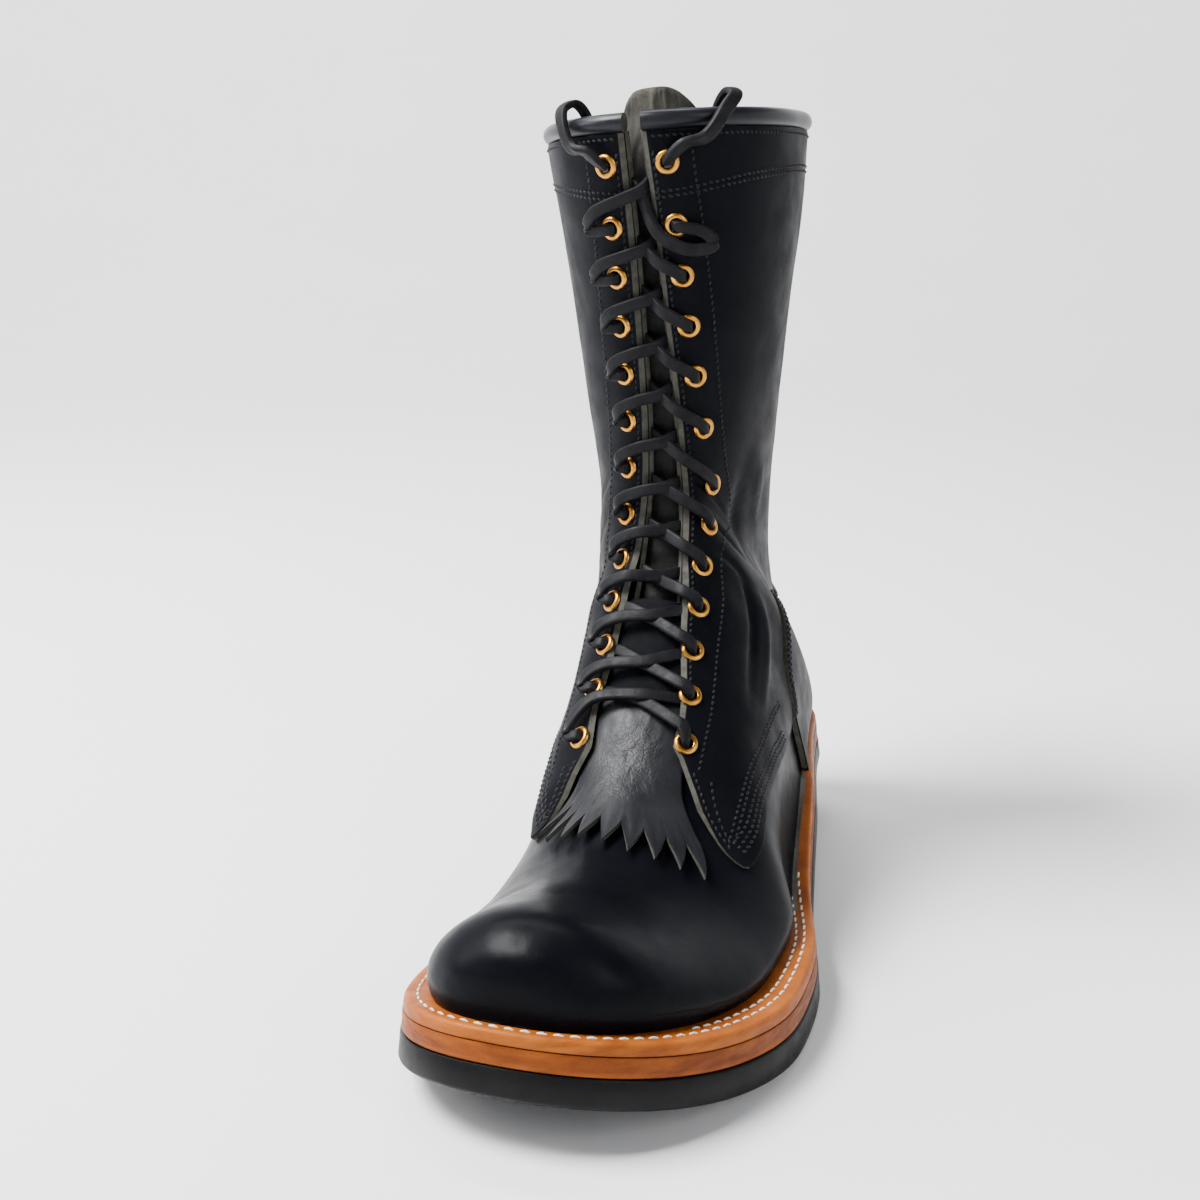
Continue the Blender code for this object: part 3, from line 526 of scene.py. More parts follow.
def outward(s, t, side):
    """Unit normals of the form; level along its foot, so that the wall stands on the welt."""
    s, t, side = spread(s, t, side)
    ds = np.maximum(np.minimum(0.03, s / 2), 1e-4)
    along = form(s + ds, t, side) - form(s - ds, t, side)
    across = form(s, t + 0.012, side) - form(s, t - 0.012, side)
    normal = np.cross(along, across)
    fx, fd, fz, bx, bd, bz = np.moveaxis(smooth(sections, s), -1, 0)[:6]
    middle = np.stack(((fx + bx) / 2, fd * 0.4 + bd * 0.6, fz * 0.4 + bz * 0.6), axis=-1)
    away = form(s, t, side) - middle
    away[..., 1] += 40 * (1 - ease(0, 1.5, s))
    inward = np.sum(normal * away, axis=-1) < 0
    normal = np.where(inward[..., None], -normal, normal)
    level = 1 - ease(0.8, 1.0, t)
    level = np.where(s < HEEL_ROW, level, np.maximum(ease(HEEL_ROW, HEEL_ROW + 0.7, s), level))
    normal[..., 2] *= level
    normal = np.where((s < 0.01)[..., None], (0.0, 1.0, 0.0), normal)
    return normal / np.maximum(np.linalg.norm(normal, axis=-1), 1e-9)[..., None]


def stretch_at(s, t, side, ds=0.0, dt=0.0):
    """Millimetres on the form for one unit of s, or of t."""
    return np.linalg.norm(form(s + ds, t + dt, side) - form(s - ds, t - dt, side), axis=-1) / (2 * (ds + dt))


fold_lines = []
for side, height, breadth, line in FOLDS:
    line = np.array(line)
    line = smooth(np.column_stack((np.linspace(0, 1, len(line)), line)), np.linspace(0, 1, 9))
    s, t = line[4]
    long, wide = float(stretch_at(s, t, side, ds=0.05)), float(stretch_at(s, t, side, dt=0.01))
    fold_lines.append((side, height, breadth, line * (long, wide), long, wide))


def waves(x, y, seed):
    """Soft unevenness from -1 to 1 over a plane, one swell per unit."""
    table = np.random.default_rng(seed).uniform(-1, 1, (64, 64))
    i, j = np.floor(x).astype(int), np.floor(y).astype(int)
    u, v = ease(0, 1, x - i), ease(0, 1, y - j)
    i, j, m, n = i % 64, j % 64, (i + 1) % 64, (j + 1) % 64
    first = table[i, j] * (1 - u) + table[m, j] * u
    return first * (1 - v) + (table[i, n] * (1 - u) + table[m, n] * u) * v


def fold(s, t, side):
    """Height of the creases over the form."""
    total = 0.12 * waves(s * 1.6, t * 9 * side + 20, 3) + 0.05 * waves(s * 4.5, t * 24 * side + 30, 5)
    total = total * ease(0.5, 1.5, s)
    for fold_side, height, breadth, line, long, wide in fold_lines:
        reach = np.ptp(line[:, 0]) / 2 + 2 * breadth
        near = (side == fold_side) & (np.abs(s * long - np.mean(line[:, 0])) < reach)
        if not near.any():
            continue
        spot = np.stack((s[near] * long, t[near] * wide), axis=-1)[:, None]
        leg = np.diff(line, axis=0)
        way = np.clip(np.sum((spot - line[:-1]) * leg, axis=-1) / np.sum(leg**2, axis=-1), 0, 1)
        gap = np.linalg.norm(spot - line[:-1] - way[..., None] * leg, axis=-1)
        best = np.argmin(gap, axis=-1)[:, None]
        along = (best[:, 0] + np.take_along_axis(way, best, axis=1)[:, 0]) / len(leg)
        gap = np.take_along_axis(gap, best, axis=1)[:, 0]
        fade = np.sin(math.pi * np.clip(along, 0.02, 0.98)) ** 0.8
        total[near] += height * np.exp(-((gap / breadth * 2) ** 2)) * fade
    return total


def skin(s, t, side, grow):
    """Points on the upper, creases and all, `grow` above its leather."""
    s, t, side, grow = spread(s, t, side, grow)
    settle = 0.5 * ease(0.96, 1.0, t) * (s < HEEL_ROW)
    spot = form(s, t, side) + outward(s, t, side) * (grow + fold(s, t, side))[..., None]
    spot[..., 2] -= settle
    return spot


def share(s, half, side):
    """How far down the side the upper is `half` away from its ridge."""
    s, half, side = spread(s, half, side)
    ridge = form(s, 0.0, side)[..., 0]
    low, high = np.zeros_like(s), np.full_like(s, 0.5)
    for _ in range(24):
        t = (low + high) / 2
        near = np.abs(form(s, t, side)[..., 0] - ridge) < half
        low = np.where(near, t, low)
        high = np.where(near, high, t)
    return (low + high) / 2


def throat(s, side):
    """Where the front edges stand at either side of the opening."""
    s = np.clip(s, 8.0, COLLAR_ROW)
    return share(s, smooth(THROAT_GAPS, s)[..., 0], side)


def leather_sheet(name, s, t, side, low, high, finishes, keep=None, soften=0.35, lean=0.0, tone=None):
    """A cut piece of leather over the form: outer face, inner face, and the cut edge between them."""
    s, t, side, low, high, lean = spread(s, t, side, low, high, lean)
    outer = skin(s, t + lean, side, high).reshape(-1, 3)
    inner = skin(s, t, side, low).reshape(-1, 3)
    _, first, same = np.unique(np.round(outer, 3), axis=0, return_index=True, return_inverse=True)
    ids = same.reshape(s.shape)
    cells = np.stack((ids[:-1, :-1], ids[:-1, 1:], ids[1:, 1:], ids[1:, :-1]), axis=-1)
    cells = cells.reshape(-1, 4) if keep is None else cells[keep]
    outer, inner = outer[first], inner[first]
    count = len(outer)
    edges = cells[:, [0, 1, 1, 2, 2, 3, 3, 0]].reshape(-1, 2)
    edges = edges[edges[:, 0] != edges[:, 1]]
    border = edges[~np.isin(edges[:, 1] * count + edges[:, 0], edges[:, 0] * count + edges[:, 1])]
    rim = np.unique(border)
    down = inner[rim] - outer[rim]
    outer[rim] += unit(down) * soften
    faces = [list(dict.fromkeys(face)) for face in cells.tolist()]
    faces = [face for face in faces if len(face) > 2]
    under = [[i + count for i in reversed(face)] for face in faces]
    wall = [[b, a, a + count, b + count] for a, b in border.tolist()]
    which = [0] * len(faces) + [1] * len(under) + [2] * len(wall)
    points = np.concatenate((outer, inner))
    used = np.unique([i for face in faces + under + wall for i in face])
    renumber = np.full(len(points), -1)
    renumber[used] = np.arange(len(used))
    faces = [[renumber[i] for i in face] for face in faces + under + wall]
    tone = None if tone is None else np.tile(np.ravel(tone)[first], 2)[used]
    return piece(name, points[used], faces, finishes, which, tone)


def edge_lean(s, t, edge, side, amount):
    """How far the outer face draws back from a cut edge, so that the edge shows from outside."""
    wide = stretch_at(s, edge, side, dt=0.005)
    return amount / wide * np.exp(-np.maximum(t - edge, 0) * wide / amount)


BLACK = ((0.0014, 0.0017, 0.0029), (0.0029, 0.0033, 0.0049))
black_leather = finish("black_leather", BLACK, 35, rough=(0.28, 0.40), grain=(480, 0.04), crumb=(1500, 0.016),
                       specular=0.045)
flesh = finish("flesh_side", ((0.075, 0.072, 0.058), (0.135, 0.128, 0.105)), 120, rough=(0.85, 0.95),
               grain=(1300, 0.12), crumb=(380, 0.12), sheen=0.15, specular=0.2)
cut_edge = finish("cut_edge", ((0.022, 0.0215, 0.0165), (0.052, 0.050, 0.038)), 300, rough=(0.7, 0.85),
                  grain=(2200, 0.1), specular=0.3)

s = np.unique(np.concatenate(((0, 0.03, 0.07, 0.12, 0.18, 0.25, 0.33, 0.42, 0.52), np.arange(0.62, 8.15, 0.1),
                              (THROAT_ROW,), np.arange(8.3, 20.95, 0.1), (COLLAR_ROW,))))[:, None]
part = np.concatenate((np.linspace(0, 0.14, 9)[1:], np.linspace(0.16, 1, 46)))
columns = []
for way in (1, -1):
    edge = throat(s, np.full_like(s, way))
    edge = edge - THROAT_TUCK / stretch_at(s, edge, way, dt=0.005) * (s > 8)
    half = [edge * u for u in np.linspace(0, 1, THROAT_COLUMNS + 1)[:-1]]
    half += [edge + (1 - edge) * u for u in np.concatenate(((0,), part))]
    columns.append(np.concatenate(half, axis=1))
t = np.concatenate((columns[0][:, :0:-1], columns[1]), axis=1)
side = np.concatenate((np.ones(columns[0].shape[1] - 1), -np.ones(columns[1].shape[1])))[None, :]
open_columns = np.abs(np.arange(t.shape[1] - 1) - (columns[0].shape[1] - 1) + 0.5) < THROAT_COLUMNS
keep = ~((s[:-1] >= THROAT_ROW - 0.001) & open_columns[None, :])
lean = []
for way, half in zip((1, -1), columns):
    edge = half[:, THROAT_COLUMNS:THROAT_COLUMNS + 1]
    lean.append(np.where(half >= edge - 1e-6, edge_lean(s, half, edge, way, THROAT_TUCK), 0.0))
lean = np.concatenate((lean[0][:, :0:-1], lean[1]), axis=1) * ease(7.6, THROAT_ROW, s)
upper = leather_sheet("upper_leather", s, t, side, -WALL, 0.0, [black_leather, flesh, cut_edge], keep, lean=lean)
lining = {i for face in upper.data.polygons if face.material_index == 1 for i in face.vertices}
for i in lining:
    spot = upper.data.vertices[i].co
    if spot.y < TOE_LINING:
        spot.y += TOE_LINING_IN
for face in upper.data.polygons:
    if face.material_index == 2 and face.center.z < FOOT_EDGE:
        face.material_index = 0
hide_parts("upper")


# Insole: a board of undyed leather inside the boot, held by the welt seam and tacked at the heel.
# It shows only down the shaft; its face is smooth, a little higher near the lining than in the middle.
INSOLE = 3.0


def inside(amount, height):
    """A closed loop inside the upper's foot."""
    toe_in = TOE_MARGIN + amount
    heel_in = HEEL_MARGIN + amount + 1.5
    d = heel_in + (SOLE_LENGTH - toe_in - heel_in) * (1 - np.cos(np.linspace(0, math.pi, 90))) / 2
    margins = smooth(UPPER_MARGINS, d) + (amount + 5 * ease(0, 60, 120 - d))[:, None]
    lateral, medial = sole_sides(d, margins[:, 0], margins[:, 1], toe_in, heel_in)
    return closed(lateral, medial, d, welt_top(d) + GAP + height)


insole_leather = finish("insole_leather", ((0.24, 0.135, 0.066), (0.36, 0.215, 0.115)), 40, rough=(0.55, 0.7),
                        grain=(800, 0.08), crumb=(2200, 0.04))
insole = layer("insole_board", [
    inside(WALL + amount, height)
    for amount, height in ((2.4, 0.2), (2.4, INSOLE - 0.4), (3.0, INSOLE + 0.2), (7.0, INSOLE - 0.2))
], [insole_leather])
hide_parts("insole")


# Quarters: two panels of the same black leather sewn over the shaft, each with a wing that runs down the vamp.
# Their front edges are the eyelet facings, cut raw and olive grey; dark thread follows each edge.
QUARTER = 1.4
LIFTED = 2.8
KILTIE_TOP = 10.6
COUNTER_HEAD = 15.5
SEAM = 0.0025
QUARTER_STARTS = ((6.68, 0.281), (6.70, 0.262), (6.76, 0.243), (6.85, 0.222), (7, 0.19), (7.5, 0.13), (8.2, 0.0))
QUARTER_ENDS = ((6.68, 0.283), (6.70, 0.300), (6.76, 0.310), (6.85, 0.315), (7.8, 0.355), (9, 0.43), (9.8, 0.50),
                (10.3, 0.53), (10.75, 0.45), (11.5, 0.41), (12.5, 0.41), (13, 0.43), (13.5, 0.49), (14, 0.60),
                (14.5, 0.73), (15, 0.86), (15.5, 0.995))
EYELETS = 13
EYELET_TOP = 10.5
EYELET_TOP_PITCH = 21.3
EYELET_PITCH = 17.5
EYELET_HOLE = 2.1
EYELET_HALVES = ((0, 10.5), (4, 12.3), (7, 14.0), (10, 14.3), (12, 17.5))
EYESTAY = (
    # s, then how far from the ridge the eyestay's outer stitching lies, lateral and medial
    (7.4, 23.0, 27.0), (8.3, 22.8, 26.0), (9.7, 21.4, 25.0), (12, 19.5, 24.0), (15, 17.5, 22.0), (18, 19.3, 20.0),
    (21, 18.0, 17.5),
)
# Lines of thread as s, t pairs: the cuff under the collar, and the wing's edges and its middle.
CUFF = ((20.1, 0.14), (20.3, 0.28), (20.45, 0.43), (20.5, 0.6), (20.45, 0.8), (20.4, 0.99))
WING_FRONT = ((7.4, 0.155), (7.2, 0.178), (7.0, 0.203), (6.86, 0.232), (6.78, 0.258))
WING_PATCH = ((7.42, 0.20), (7.2, 0.213), (7.0, 0.234), (6.84, 0.262))
WING_MIDDLE = ((10.1, 0.418), (9.4, 0.372), (8.7, 0.332), (7.9, 0.292), (7.3, 0.270), (6.88, 0.268))
WING_BACK = ((9.7, 0.478), (9.35, 0.449), (9.0, 0.418), (7.8, 0.342), (7.2, 0.315), (6.85, 0.30))
SEWING = (2.1, 0.3, 0.9, 0.35)
UNDERLAY = GAP + 0.15


def lifted(s, t):
    """How far the quarters ride up over the kiltie near the bottom of the throat."""
    along = ease(6.7, 7.3, s) * (1 - ease(KILTIE_TOP + 0.2, KILTIE_TOP + 1.4, s))
    return LIFTED * along * (1 - ease(0.24, 0.42, t))


def quarter_top(s, t):
    return UNDERLAY + lifted(s, t) + QUARTER


def quarter_start(s, side):
    edge = throat(s, side)
    early = np.interp(s, *np.array(QUARTER_STARTS).T)
    return np.where(s < THROAT_ROW, np.maximum(early, edge), edge)


def quarter_end(s):
    late = np.where(s < 6.9, np.interp(s, *np.array(QUARTER_ENDS).T), smooth(QUARTER_ENDS[3:], s)[..., 0])
    return np.where(s > COUNTER_HEAD, 1 - SEAM, np.minimum(late, 1 - SEAM))


ridge_s = np.linspace(COLLAR_ROW, 4.0, 3000)
ridge_run = run_along(form(ridge_s, 0.0, 1))
below = [EYELET_TOP] + [EYELET_TOP + EYELET_TOP_PITCH + EYELET_PITCH * k for k in range(EYELETS - 1)]
eyelet_s = np.interp(below, ridge_run, ridge_s)
eyelet_half = smooth(EYELET_HALVES, np.arange(EYELETS))[:, 0]
eyelet_spots = {}
for way in (1, -1):
    eyelet_t = share(eyelet_s, eyelet_half, way)
    spots = skin(eyelet_s, eyelet_t, way, quarter_top(eyelet_s, eyelet_t))
    eyelet_spots[way] = (spots, outward(eyelet_s, eyelet_t, way))

quarter_leather = finish("quarter_leather", BLACK, 35, rough=(0.40, 0.54), grain=(480, 0.045), crumb=(1500, 0.018),
                         specular=0.035)
dark_thread = finish("dark_thread", ((0.007, 0.007, 0.008), (0.016, 0.016, 0.018)), 500, rough=(0.4, 0.55),
                     grain=(4000, 0.05), specular=0.1)


def curve(table, side, along=0.0, across=0.0, grow=quarter_top):
    """Points and normals of a line given by a few (s, t), moved over by millimetres in s or t."""
    table = np.array(table, dtype=float)
    run = np.linspace(0, 1, len(table))
    s, t = smooth(np.column_stack((run, table)), np.linspace(0, 1, 30 * len(table))).T
    long, wide = stretch_at(s, t, side, ds=0.02), stretch_at(s, t, side, dt=0.005)
    s = np.minimum(s + along / np.maximum(long, 4), COLLAR_ROW)
    t = t + across / np.maximum(wide, 30)
    return skin(s, t, side, grow(s, t)), outward(s, t, side)


s = np.concatenate(((6.68, 6.70, 6.76, 6.85), np.arange(6.95, 8.17, 0.05), np.arange(THROAT_ROW, 20.99, 0.05),
                    (COLLAR_ROW,)))[:, None]
part = np.concatenate((np.linspace(0, 0.2, 26), np.linspace(0.22, 1, 34)))[None, :]
for name, way in (("lateral", 1), ("medial", -1)):
    start = quarter_start(s, way)
    t = start + (quarter_end(s) - start) * part
    low = UNDERLAY + lifted(s, t)
    middle = skin(s, t, way, low + QUARTER)
    middle = (middle[:-1, :-1] + middle[1:, 1:]) / 2
    hole = np.min(np.linalg.norm(middle[:, :, None] - eyelet_spots[way][0], axis=-1), axis=-1)
    quarter = leather_sheet(f"quarter_{name}_leather", s, t, way, low, low + QUARTER,
                            [quarter_leather, quarter_leather, cut_edge], hole > EYELET_HOLE + 0.6,
                            lean=edge_lean(s, t, start, way, 2.0) * ease(6.7, 7.0, s))
    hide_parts(f"quarter_{name}")
    rows = np.arange(8.3, 20.8, 0.4)
    facing = np.column_stack((rows, throat(rows, way)))
    rows = np.concatenate((np.arange(7.45, 8.2, 0.25), rows))
    stay_half = smooth(EYESTAY, rows)[:, 0 if way > 0 else 1]
    stay = np.column_stack((rows, share(rows, stay_half, way)))
    cuff = ((20.0, float(throat(20.0, way)) + 0.01),) + CUFF
    top = [(20.92, u) for u in np.linspace(float(throat(20.9, way)) + 0.02, 0.99, 8)]
    back = [(u, 0.995) for u in np.linspace(15.7, 20.8, 8)]
    runs = [curve(line, way, along, across) for line, along, across in (
        (facing, 0, 3.0), (stay, 0, 0), (cuff, 0, 0), (cuff, -2.0, 0), (top, 0, 0), (WING_FRONT, 0, 1.5),
        (WING_BACK, 0, -2.0), (WING_BACK, 0, -4.2), (WING_BACK, 0, -6.4), (WING_PATCH, 0, 0),
        (WING_MIDDLE, 0, 0), (WING_MIDDLE, 0, -2.0), (back, 0, -2.0))]
    sewn = stitches(f"quarter_{name}_thread", runs, *SEWING, [dark_thread])


# Heel counter: a firm cap of thicker black leather, moulded smooth round the heel and sewn on behind the quarters.
# Its raised cut edge shows grey; two rows of dark thread run just inside it.
COUNTER = 2.6
COUNTER_FOOT = 10.05
COUNTER_CORNER = 10.4
MOULD_CLEAR = 0.006
MOULD_PASSES = 60


def counter_start(s):
    top = quarter_end(np.array(COUNTER_CORNER)) + 2 * SEAM
    corner = 1 - (1 - top) * (s - COUNTER_FOOT) / (COUNTER_CORNER - COUNTER_FOOT)
    return np.where(s >= COUNTER_CORNER, np.minimum(quarter_end(s) + 2 * SEAM, 1.0), corner)


s = np.concatenate((np.arange(COUNTER_FOOT, 10.7, 0.05), np.arange(10.7, COUNTER_HEAD, 0.1),
                    (COUNTER_HEAD,)))[:, None]
begin = counter_start(s)
t = begin + (1 - begin) * np.concatenate((np.linspace(0, 0.1, 5), np.linspace(0.12, 1, 26)))[None, :]
t = np.concatenate((t, t[:, -2::-1]), axis=1)
side = np.where(np.arange(t.shape[1]) <= t.shape[1] // 2, 1, -1)[None, :]
counter_thick = UNDERLAY + COUNTER
heel_counter = leather_sheet("heel_counter_leather", s, t, side, UNDERLAY, counter_thick,
                             [quarter_leather, quarter_leather, cut_edge], soften=0.5)
moulded = bmesh.new()
moulded.from_mesh(heel_counter.data)
edge = [v for v in moulded.verts if any(f.material_index == 2 for f in v.link_faces)]
near = kdtree.KDTree(len(edge))
for i, v in enumerate(edge):
    near.insert(v.co, i)
near.balance()
free = [v for v in moulded.verts
        if all(f.material_index == 0 for f in v.link_faces) and near.find(v.co)[2] > MOULD_CLEAR]
for _ in range(MOULD_PASSES):
    bmesh.ops.smooth_vert(moulded, verts=free, factor=0.5, use_axis_x=True, use_axis_y=True, use_axis_z=True)
moulded.to_mesh(heel_counter.data)
moulded.free()
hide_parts("heel_counter")
runs = []
for way in (1, -1):
    line = np.array([(u, float(counter_start(np.array(u)))) for u in np.arange(10.5, 15.3, 0.35)])
    for across in (2.2, 4.4):
        runs.append(curve(line, way, across=across, grow=lambda s, t: counter_thick))
counter_thread = stitches("heel_counter_thread", runs, *SEWING, [dark_thread])


# Kiltie: a loose flap of black leather over the vamp, held under the facings by the lace.
# Its free end is cut into pointed teeth that stand off a little; its cut edges are olive, its middle is wrinkled.
KILTIE = 1.4
KILTIE_TEETH = 9
KILTIE_TIP = 5.85
KILTIE_BOW = 0.42
KILTIE_SKEW = 0.2
TOOTH = 0.42
# Height above which the kiltie's face is painted darker: painted shade cast by the lace and the facings.
LACE_SHADE_HEIGHT = 0.0945
KILTIE_HALF = (
    # s, then how far it reaches from the ridge, lateral and medial
    (5.5, 42.0, 36.0), (6.3, 33.5, 29.0), (6.7, 25.5, 20.5), (7, 21.0, 17.5), (7.7, 18.0, 16.8), (8.5, 17.0, 16.2),
    (10.6, 14.0, 14.0),
)

place = np.linspace(1, -1, KILTIE_TEETH * 12 + 1)[None, :]
phase = (1 - place) * KILTIE_TEETH / 2
saw = np.abs(2 * (phase - np.floor(phase)) - 1)
edge = KILTIE_TIP + KILTIE_BOW * place**2 - KILTIE_SKEW * place + (TOOTH + 0.06) * saw**0.9
u = (np.linspace(0, 1, 64) ** 1.25)[:, None]
s = edge + (KILTIE_TOP - edge) * u
side = np.where(place >= 0, 1, -1) + 0 * s
halves = smooth(KILTIE_HALF, s)
half = np.where(side > 0, halves[..., 0], halves[..., 1]) * np.abs(place)
t = np.where(half > 0.01, share(s, half, side), 0.0)
curl = np.random.default_rng(11).uniform(-0.5, 0.8, KILTIE_TEETH + 1)[np.floor(phase).astype(int)]
stand = GAP + 2.2 * (1 - ease(KILTIE_TIP, 7.4, s)) + curl * (1 - ease(0, 0.5, s - edge)) * (1 - saw)
wrinkle = waves(s * 9 + 3 * waves(s * 3, half / 7, 21), half * np.sign(place) / 3.2 + 30, 22)
wrinkle = wrinkle * 0.13 * ease(6.5, 6.9, s) * (1 - ease(7.7, 8.2, s)) * (1 - ease(9, 14, half))
# The kiltie's black is painted lighter than the upper's: painted sheen on the flap where it faces up to the lights.
kiltie_leather = finish("kiltie_leather", ((0.0035, 0.004, 0.0056), (0.008, 0.0085, 0.0105)), 60, rough=(0.38, 0.52),
                        grain=(620, 0.05), crumb=(1800, 0.02), specular=0.2, creases=(420, 0.045))
wrinkled = 1 - ease(0.75, 1.1, np.hypot((s - 7.25) / 0.62, half / 12.5))
kiltie = leather_sheet("kiltie_leather", s, t, side, stand, stand + KILTIE + wrinkle,
                       [kiltie_leather, flesh, cut_edge], soften=0.3, tone=0.12 + 0.88 * wrinkled)
# Above that height the kiltie's face gets a darker, duller copy of its finish: painted shade cast by the lace and the
# facings.
kiltie.data.materials.append(finish(
    "kiltie_painted_shade_under_lace", ((0.0022, 0.0025, 0.0036), (0.0044, 0.0048, 0.0062)), 60, rough=(0.6, 0.75),
    grain=(620, 0.05), crumb=(1800, 0.03), specular=0.03))
for face in kiltie.data.polygons:
    if face.material_index == 0 and face.center.z > LACE_SHADE_HEIGHT:
        face.material_index = 3
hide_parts("kiltie")


# Tongue: a strip of softer leather behind the throat, its rough side out, grey at the rounded top and painted
# near-black below it: painted shade down in the throat between the facings.
# It is sewn down inside the instep and leans back behind the collar, with creases that fan up from the lace.
TONGUE = 2.0
TONGUE_HALF = 22.0
TONGUE_TOP_HALF = 20.5
TONGUE_RISE = 0.48
TONGUE_FOOT = 7.6
TONGUE_TURN = 8.0

v = np.linspace(-1, 1, 61)[None, :]
top = COLLAR_ROW + TONGUE_RISE * (1.05 - 0.6 * np.abs(v) ** 4)
s = TONGUE_FOOT + (top - TONGUE_FOOT) * (1 - (1 - np.linspace(0, 1, 150)) ** 1.15)[:, None]
half = (TONGUE_HALF + (TONGUE_TOP_HALF - TONGUE_HALF) * ease(16, COLLAR_ROW, s)) * v
half = half - TONGUE_TURN * ease(19.3, 21.2, s)
side = np.where(half <= 0, 1, -1)
half = np.abs(half)
t = np.where(half > 0.01, share(s, half, side), 0.0)
sunk = WALL + 1.2 + 1.4 * ease(8, 10, s) * (1 - ease(18, 20, s))
sunk = sunk + 5.0 * ease(17.5, COLLAR_ROW, s) + 8.0 * ease(20, COLLAR_ROW + 0.7, s)
pucker = 0.5 * waves(v * 7 + 30 + 0 * s, s * 3.0, 31) + 0.2 * waves(v * 18 + 40 + 0 * s, s * 6.0, 32)
pucker = pucker * ease(19.6, 21.1, s)
# The tone ramp multiplies the tongue's colour down to near-black below the collar: painted shade in the throat.
tongue_leather = finish("tongue_leather", ((0.034, 0.033, 0.027), (0.068, 0.065, 0.053)), 150, rough=(0.75, 0.9),
                        grain=(900, 0.2), crumb=(2400, 0.08), specular=0.25,
                        tone=((0.0, (0.13, 0.13, 0.15)), (1.0, (1.0, 1.0, 1.0))))
tongue = leather_sheet("tongue_leather", s, t, side, -sunk - TONGUE, -sunk + pucker,
                       [tongue_leather, flesh, cut_edge], soften=0.5, tone=ease(20.5, 21.0, s))
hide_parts("tongue")


# Collar: the quarters' top edge rolled over into a round piping all round the mouth.
# The roll is glossier than the shaft, and its two cut ends show olive at the throat.
ROLL_RADIUS = 3.7
ROLL_DRAWN = 3.35
ROLL_POINTS = 90
ROLL_SIDES = 20


def tube(name, path, up, width, thick, sides, leather, squareness=1.0):
    """A cord of leather along a path, its section laid flat against the given directions, its ends cut."""
    ahead = unit(np.gradient(path, axis=0))
    wide = unit(np.cross(ahead, up))
    flat = np.cross(wide, ahead)
    turn = 2 * math.pi * (np.arange(sides) + 0.5) / sides
    x = np.sign(np.cos(turn)) * np.abs(np.cos(turn)) ** squareness
    y = np.sign(np.sin(turn)) * np.abs(np.sin(turn)) ** squareness
    width, thick = (np.broadcast_to(size, len(path))[:, None, None] / 2 for size in (width, thick))
    points = path[:, None] + wide[:, None] * width * x[:, None] + flat[:, None] * thick * y[:, None]
    faces = bands(len(path), sides)
    which = [0] * len(faces) + [1, 1]
    faces += [list(range(sides)), [(len(path) - 1) * sides + k for k in range(sides)]]
    return piece(name, points.reshape(-1, 3), faces, [leather, cut_edge], which)


roll_leather = finish("rolled_leather", ((0.005, 0.0056, 0.008), (0.009, 0.010, 0.013)), 40, rough=(0.28, 0.38),
                      grain=(600, 0.03), crumb=(1700, 0.012), specular=0.16)
t = [np.linspace(float(throat(COLLAR_ROW, way)), 1, ROLL_POINTS) for way in (1, -1)]
t = np.concatenate((t[0], t[1][-2::-1]))
side = np.where(np.arange(len(t)) < ROLL_POINTS, 1.0, -1.0)
path = form(COLLAR_ROW, t, side) + outward(COLLAR_ROW, t, side) * (QUARTER + GAP - WALL) / 2
path[:, 2] += ROLL_RADIUS + GAP + 0.6 - 1.5
thick = 2 * ROLL_DRAWN * (1 + 0.02 * waves(np.arange(len(t)) / 9.0, np.zeros(len(t)), 41))
collar = tube("collar_roll_leather", path, (0.0, 0.0, 1.0), thick, thick, ROLL_SIDES, roll_leather)
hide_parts("collar_roll")


# Eyelets: thirteen pairs of pressed brass rings, rolled over the facing with a barrel through the leather.
# The brass is a little dulled, with a soft shine over the rounded rims.
RING_SIDES = 32

brass = finish("brass", ((0.38, 0.165, 0.024), (0.56, 0.27, 0.048)), 260, rough=(0.26, 0.36), grain=(500, 0.006),
               metal=1.0)
profile = np.array((
    # radius, height over the facing
    (EYELET_HOLE, -2.4), (EYELET_HOLE, 0.5), (2.25, 0.85), (2.55, 1.12), (3.15, 1.25), (3.75, 1.08), (4.15, 0.62),
    (4.3, 0.1), (4.05, -0.05), (2.6, -0.2),
))
turn = np.linspace(0, 2 * math.pi, RING_SIDES, endpoint=False)[:, None]
points = []
faces = []
for way in (1, -1):
    for spot, up in zip(*eyelet_spots[way]):
        wide = unit(np.cross(up, (1.0, 0.0, 0.0)))
        way_out = wide * np.cos(turn) + np.cross(up, wide) * np.sin(turn)
        base = len(points) * RING_SIDES * len(profile)
        points.append((spot + way_out * profile[:, None, :1] + up * profile[:, None, 1:]).reshape(-1, 3))
        faces += [[base + i for i in face] for face in bands(len(profile), RING_SIDES)]
eyelets = piece("brass_eyelets", np.concatenate(points), faces, [brass])
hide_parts(*[f"eyelet_{name}_{k + 1:02d}" for name in ("lateral", "medial") for k in range(EYELETS)])


# Lace: one flat black leather thong, five millimetres wide, crossed up through all the eyelets.
# Each run comes up through its ring, crosses over or under the other run, and goes in behind the opposite facing.
LACE_THICK = 2.6
LACE_SIDES = 16
LACE_SQUARE = 0.42
LACE_STEPS = 8
RING_WIDTH = 3.4
RUN_WIDTH = 4.4
SLACK = (
    # how far a run bows outwards beside its eyelet, by row from the top, lateral and medial
    (0, 0), (9.0, 7.0), (0, 6.5), (0, 4.0), (0, 3.0), (0, 1.8), (0, 1.5), (0, 1.5), (0, 1.5), (0, 2.0), (0, 2.4),
    (0, 2.6), (0, 2.6),
)

lace_leather = finish("lace_leather", ((0.0035, 0.0035, 0.0045), (0.009, 0.009, 0.0105)), 160, rough=(0.42, 0.56),
                      grain=(900, 0.09), crumb=(2400, 0.04), specular=0.09)


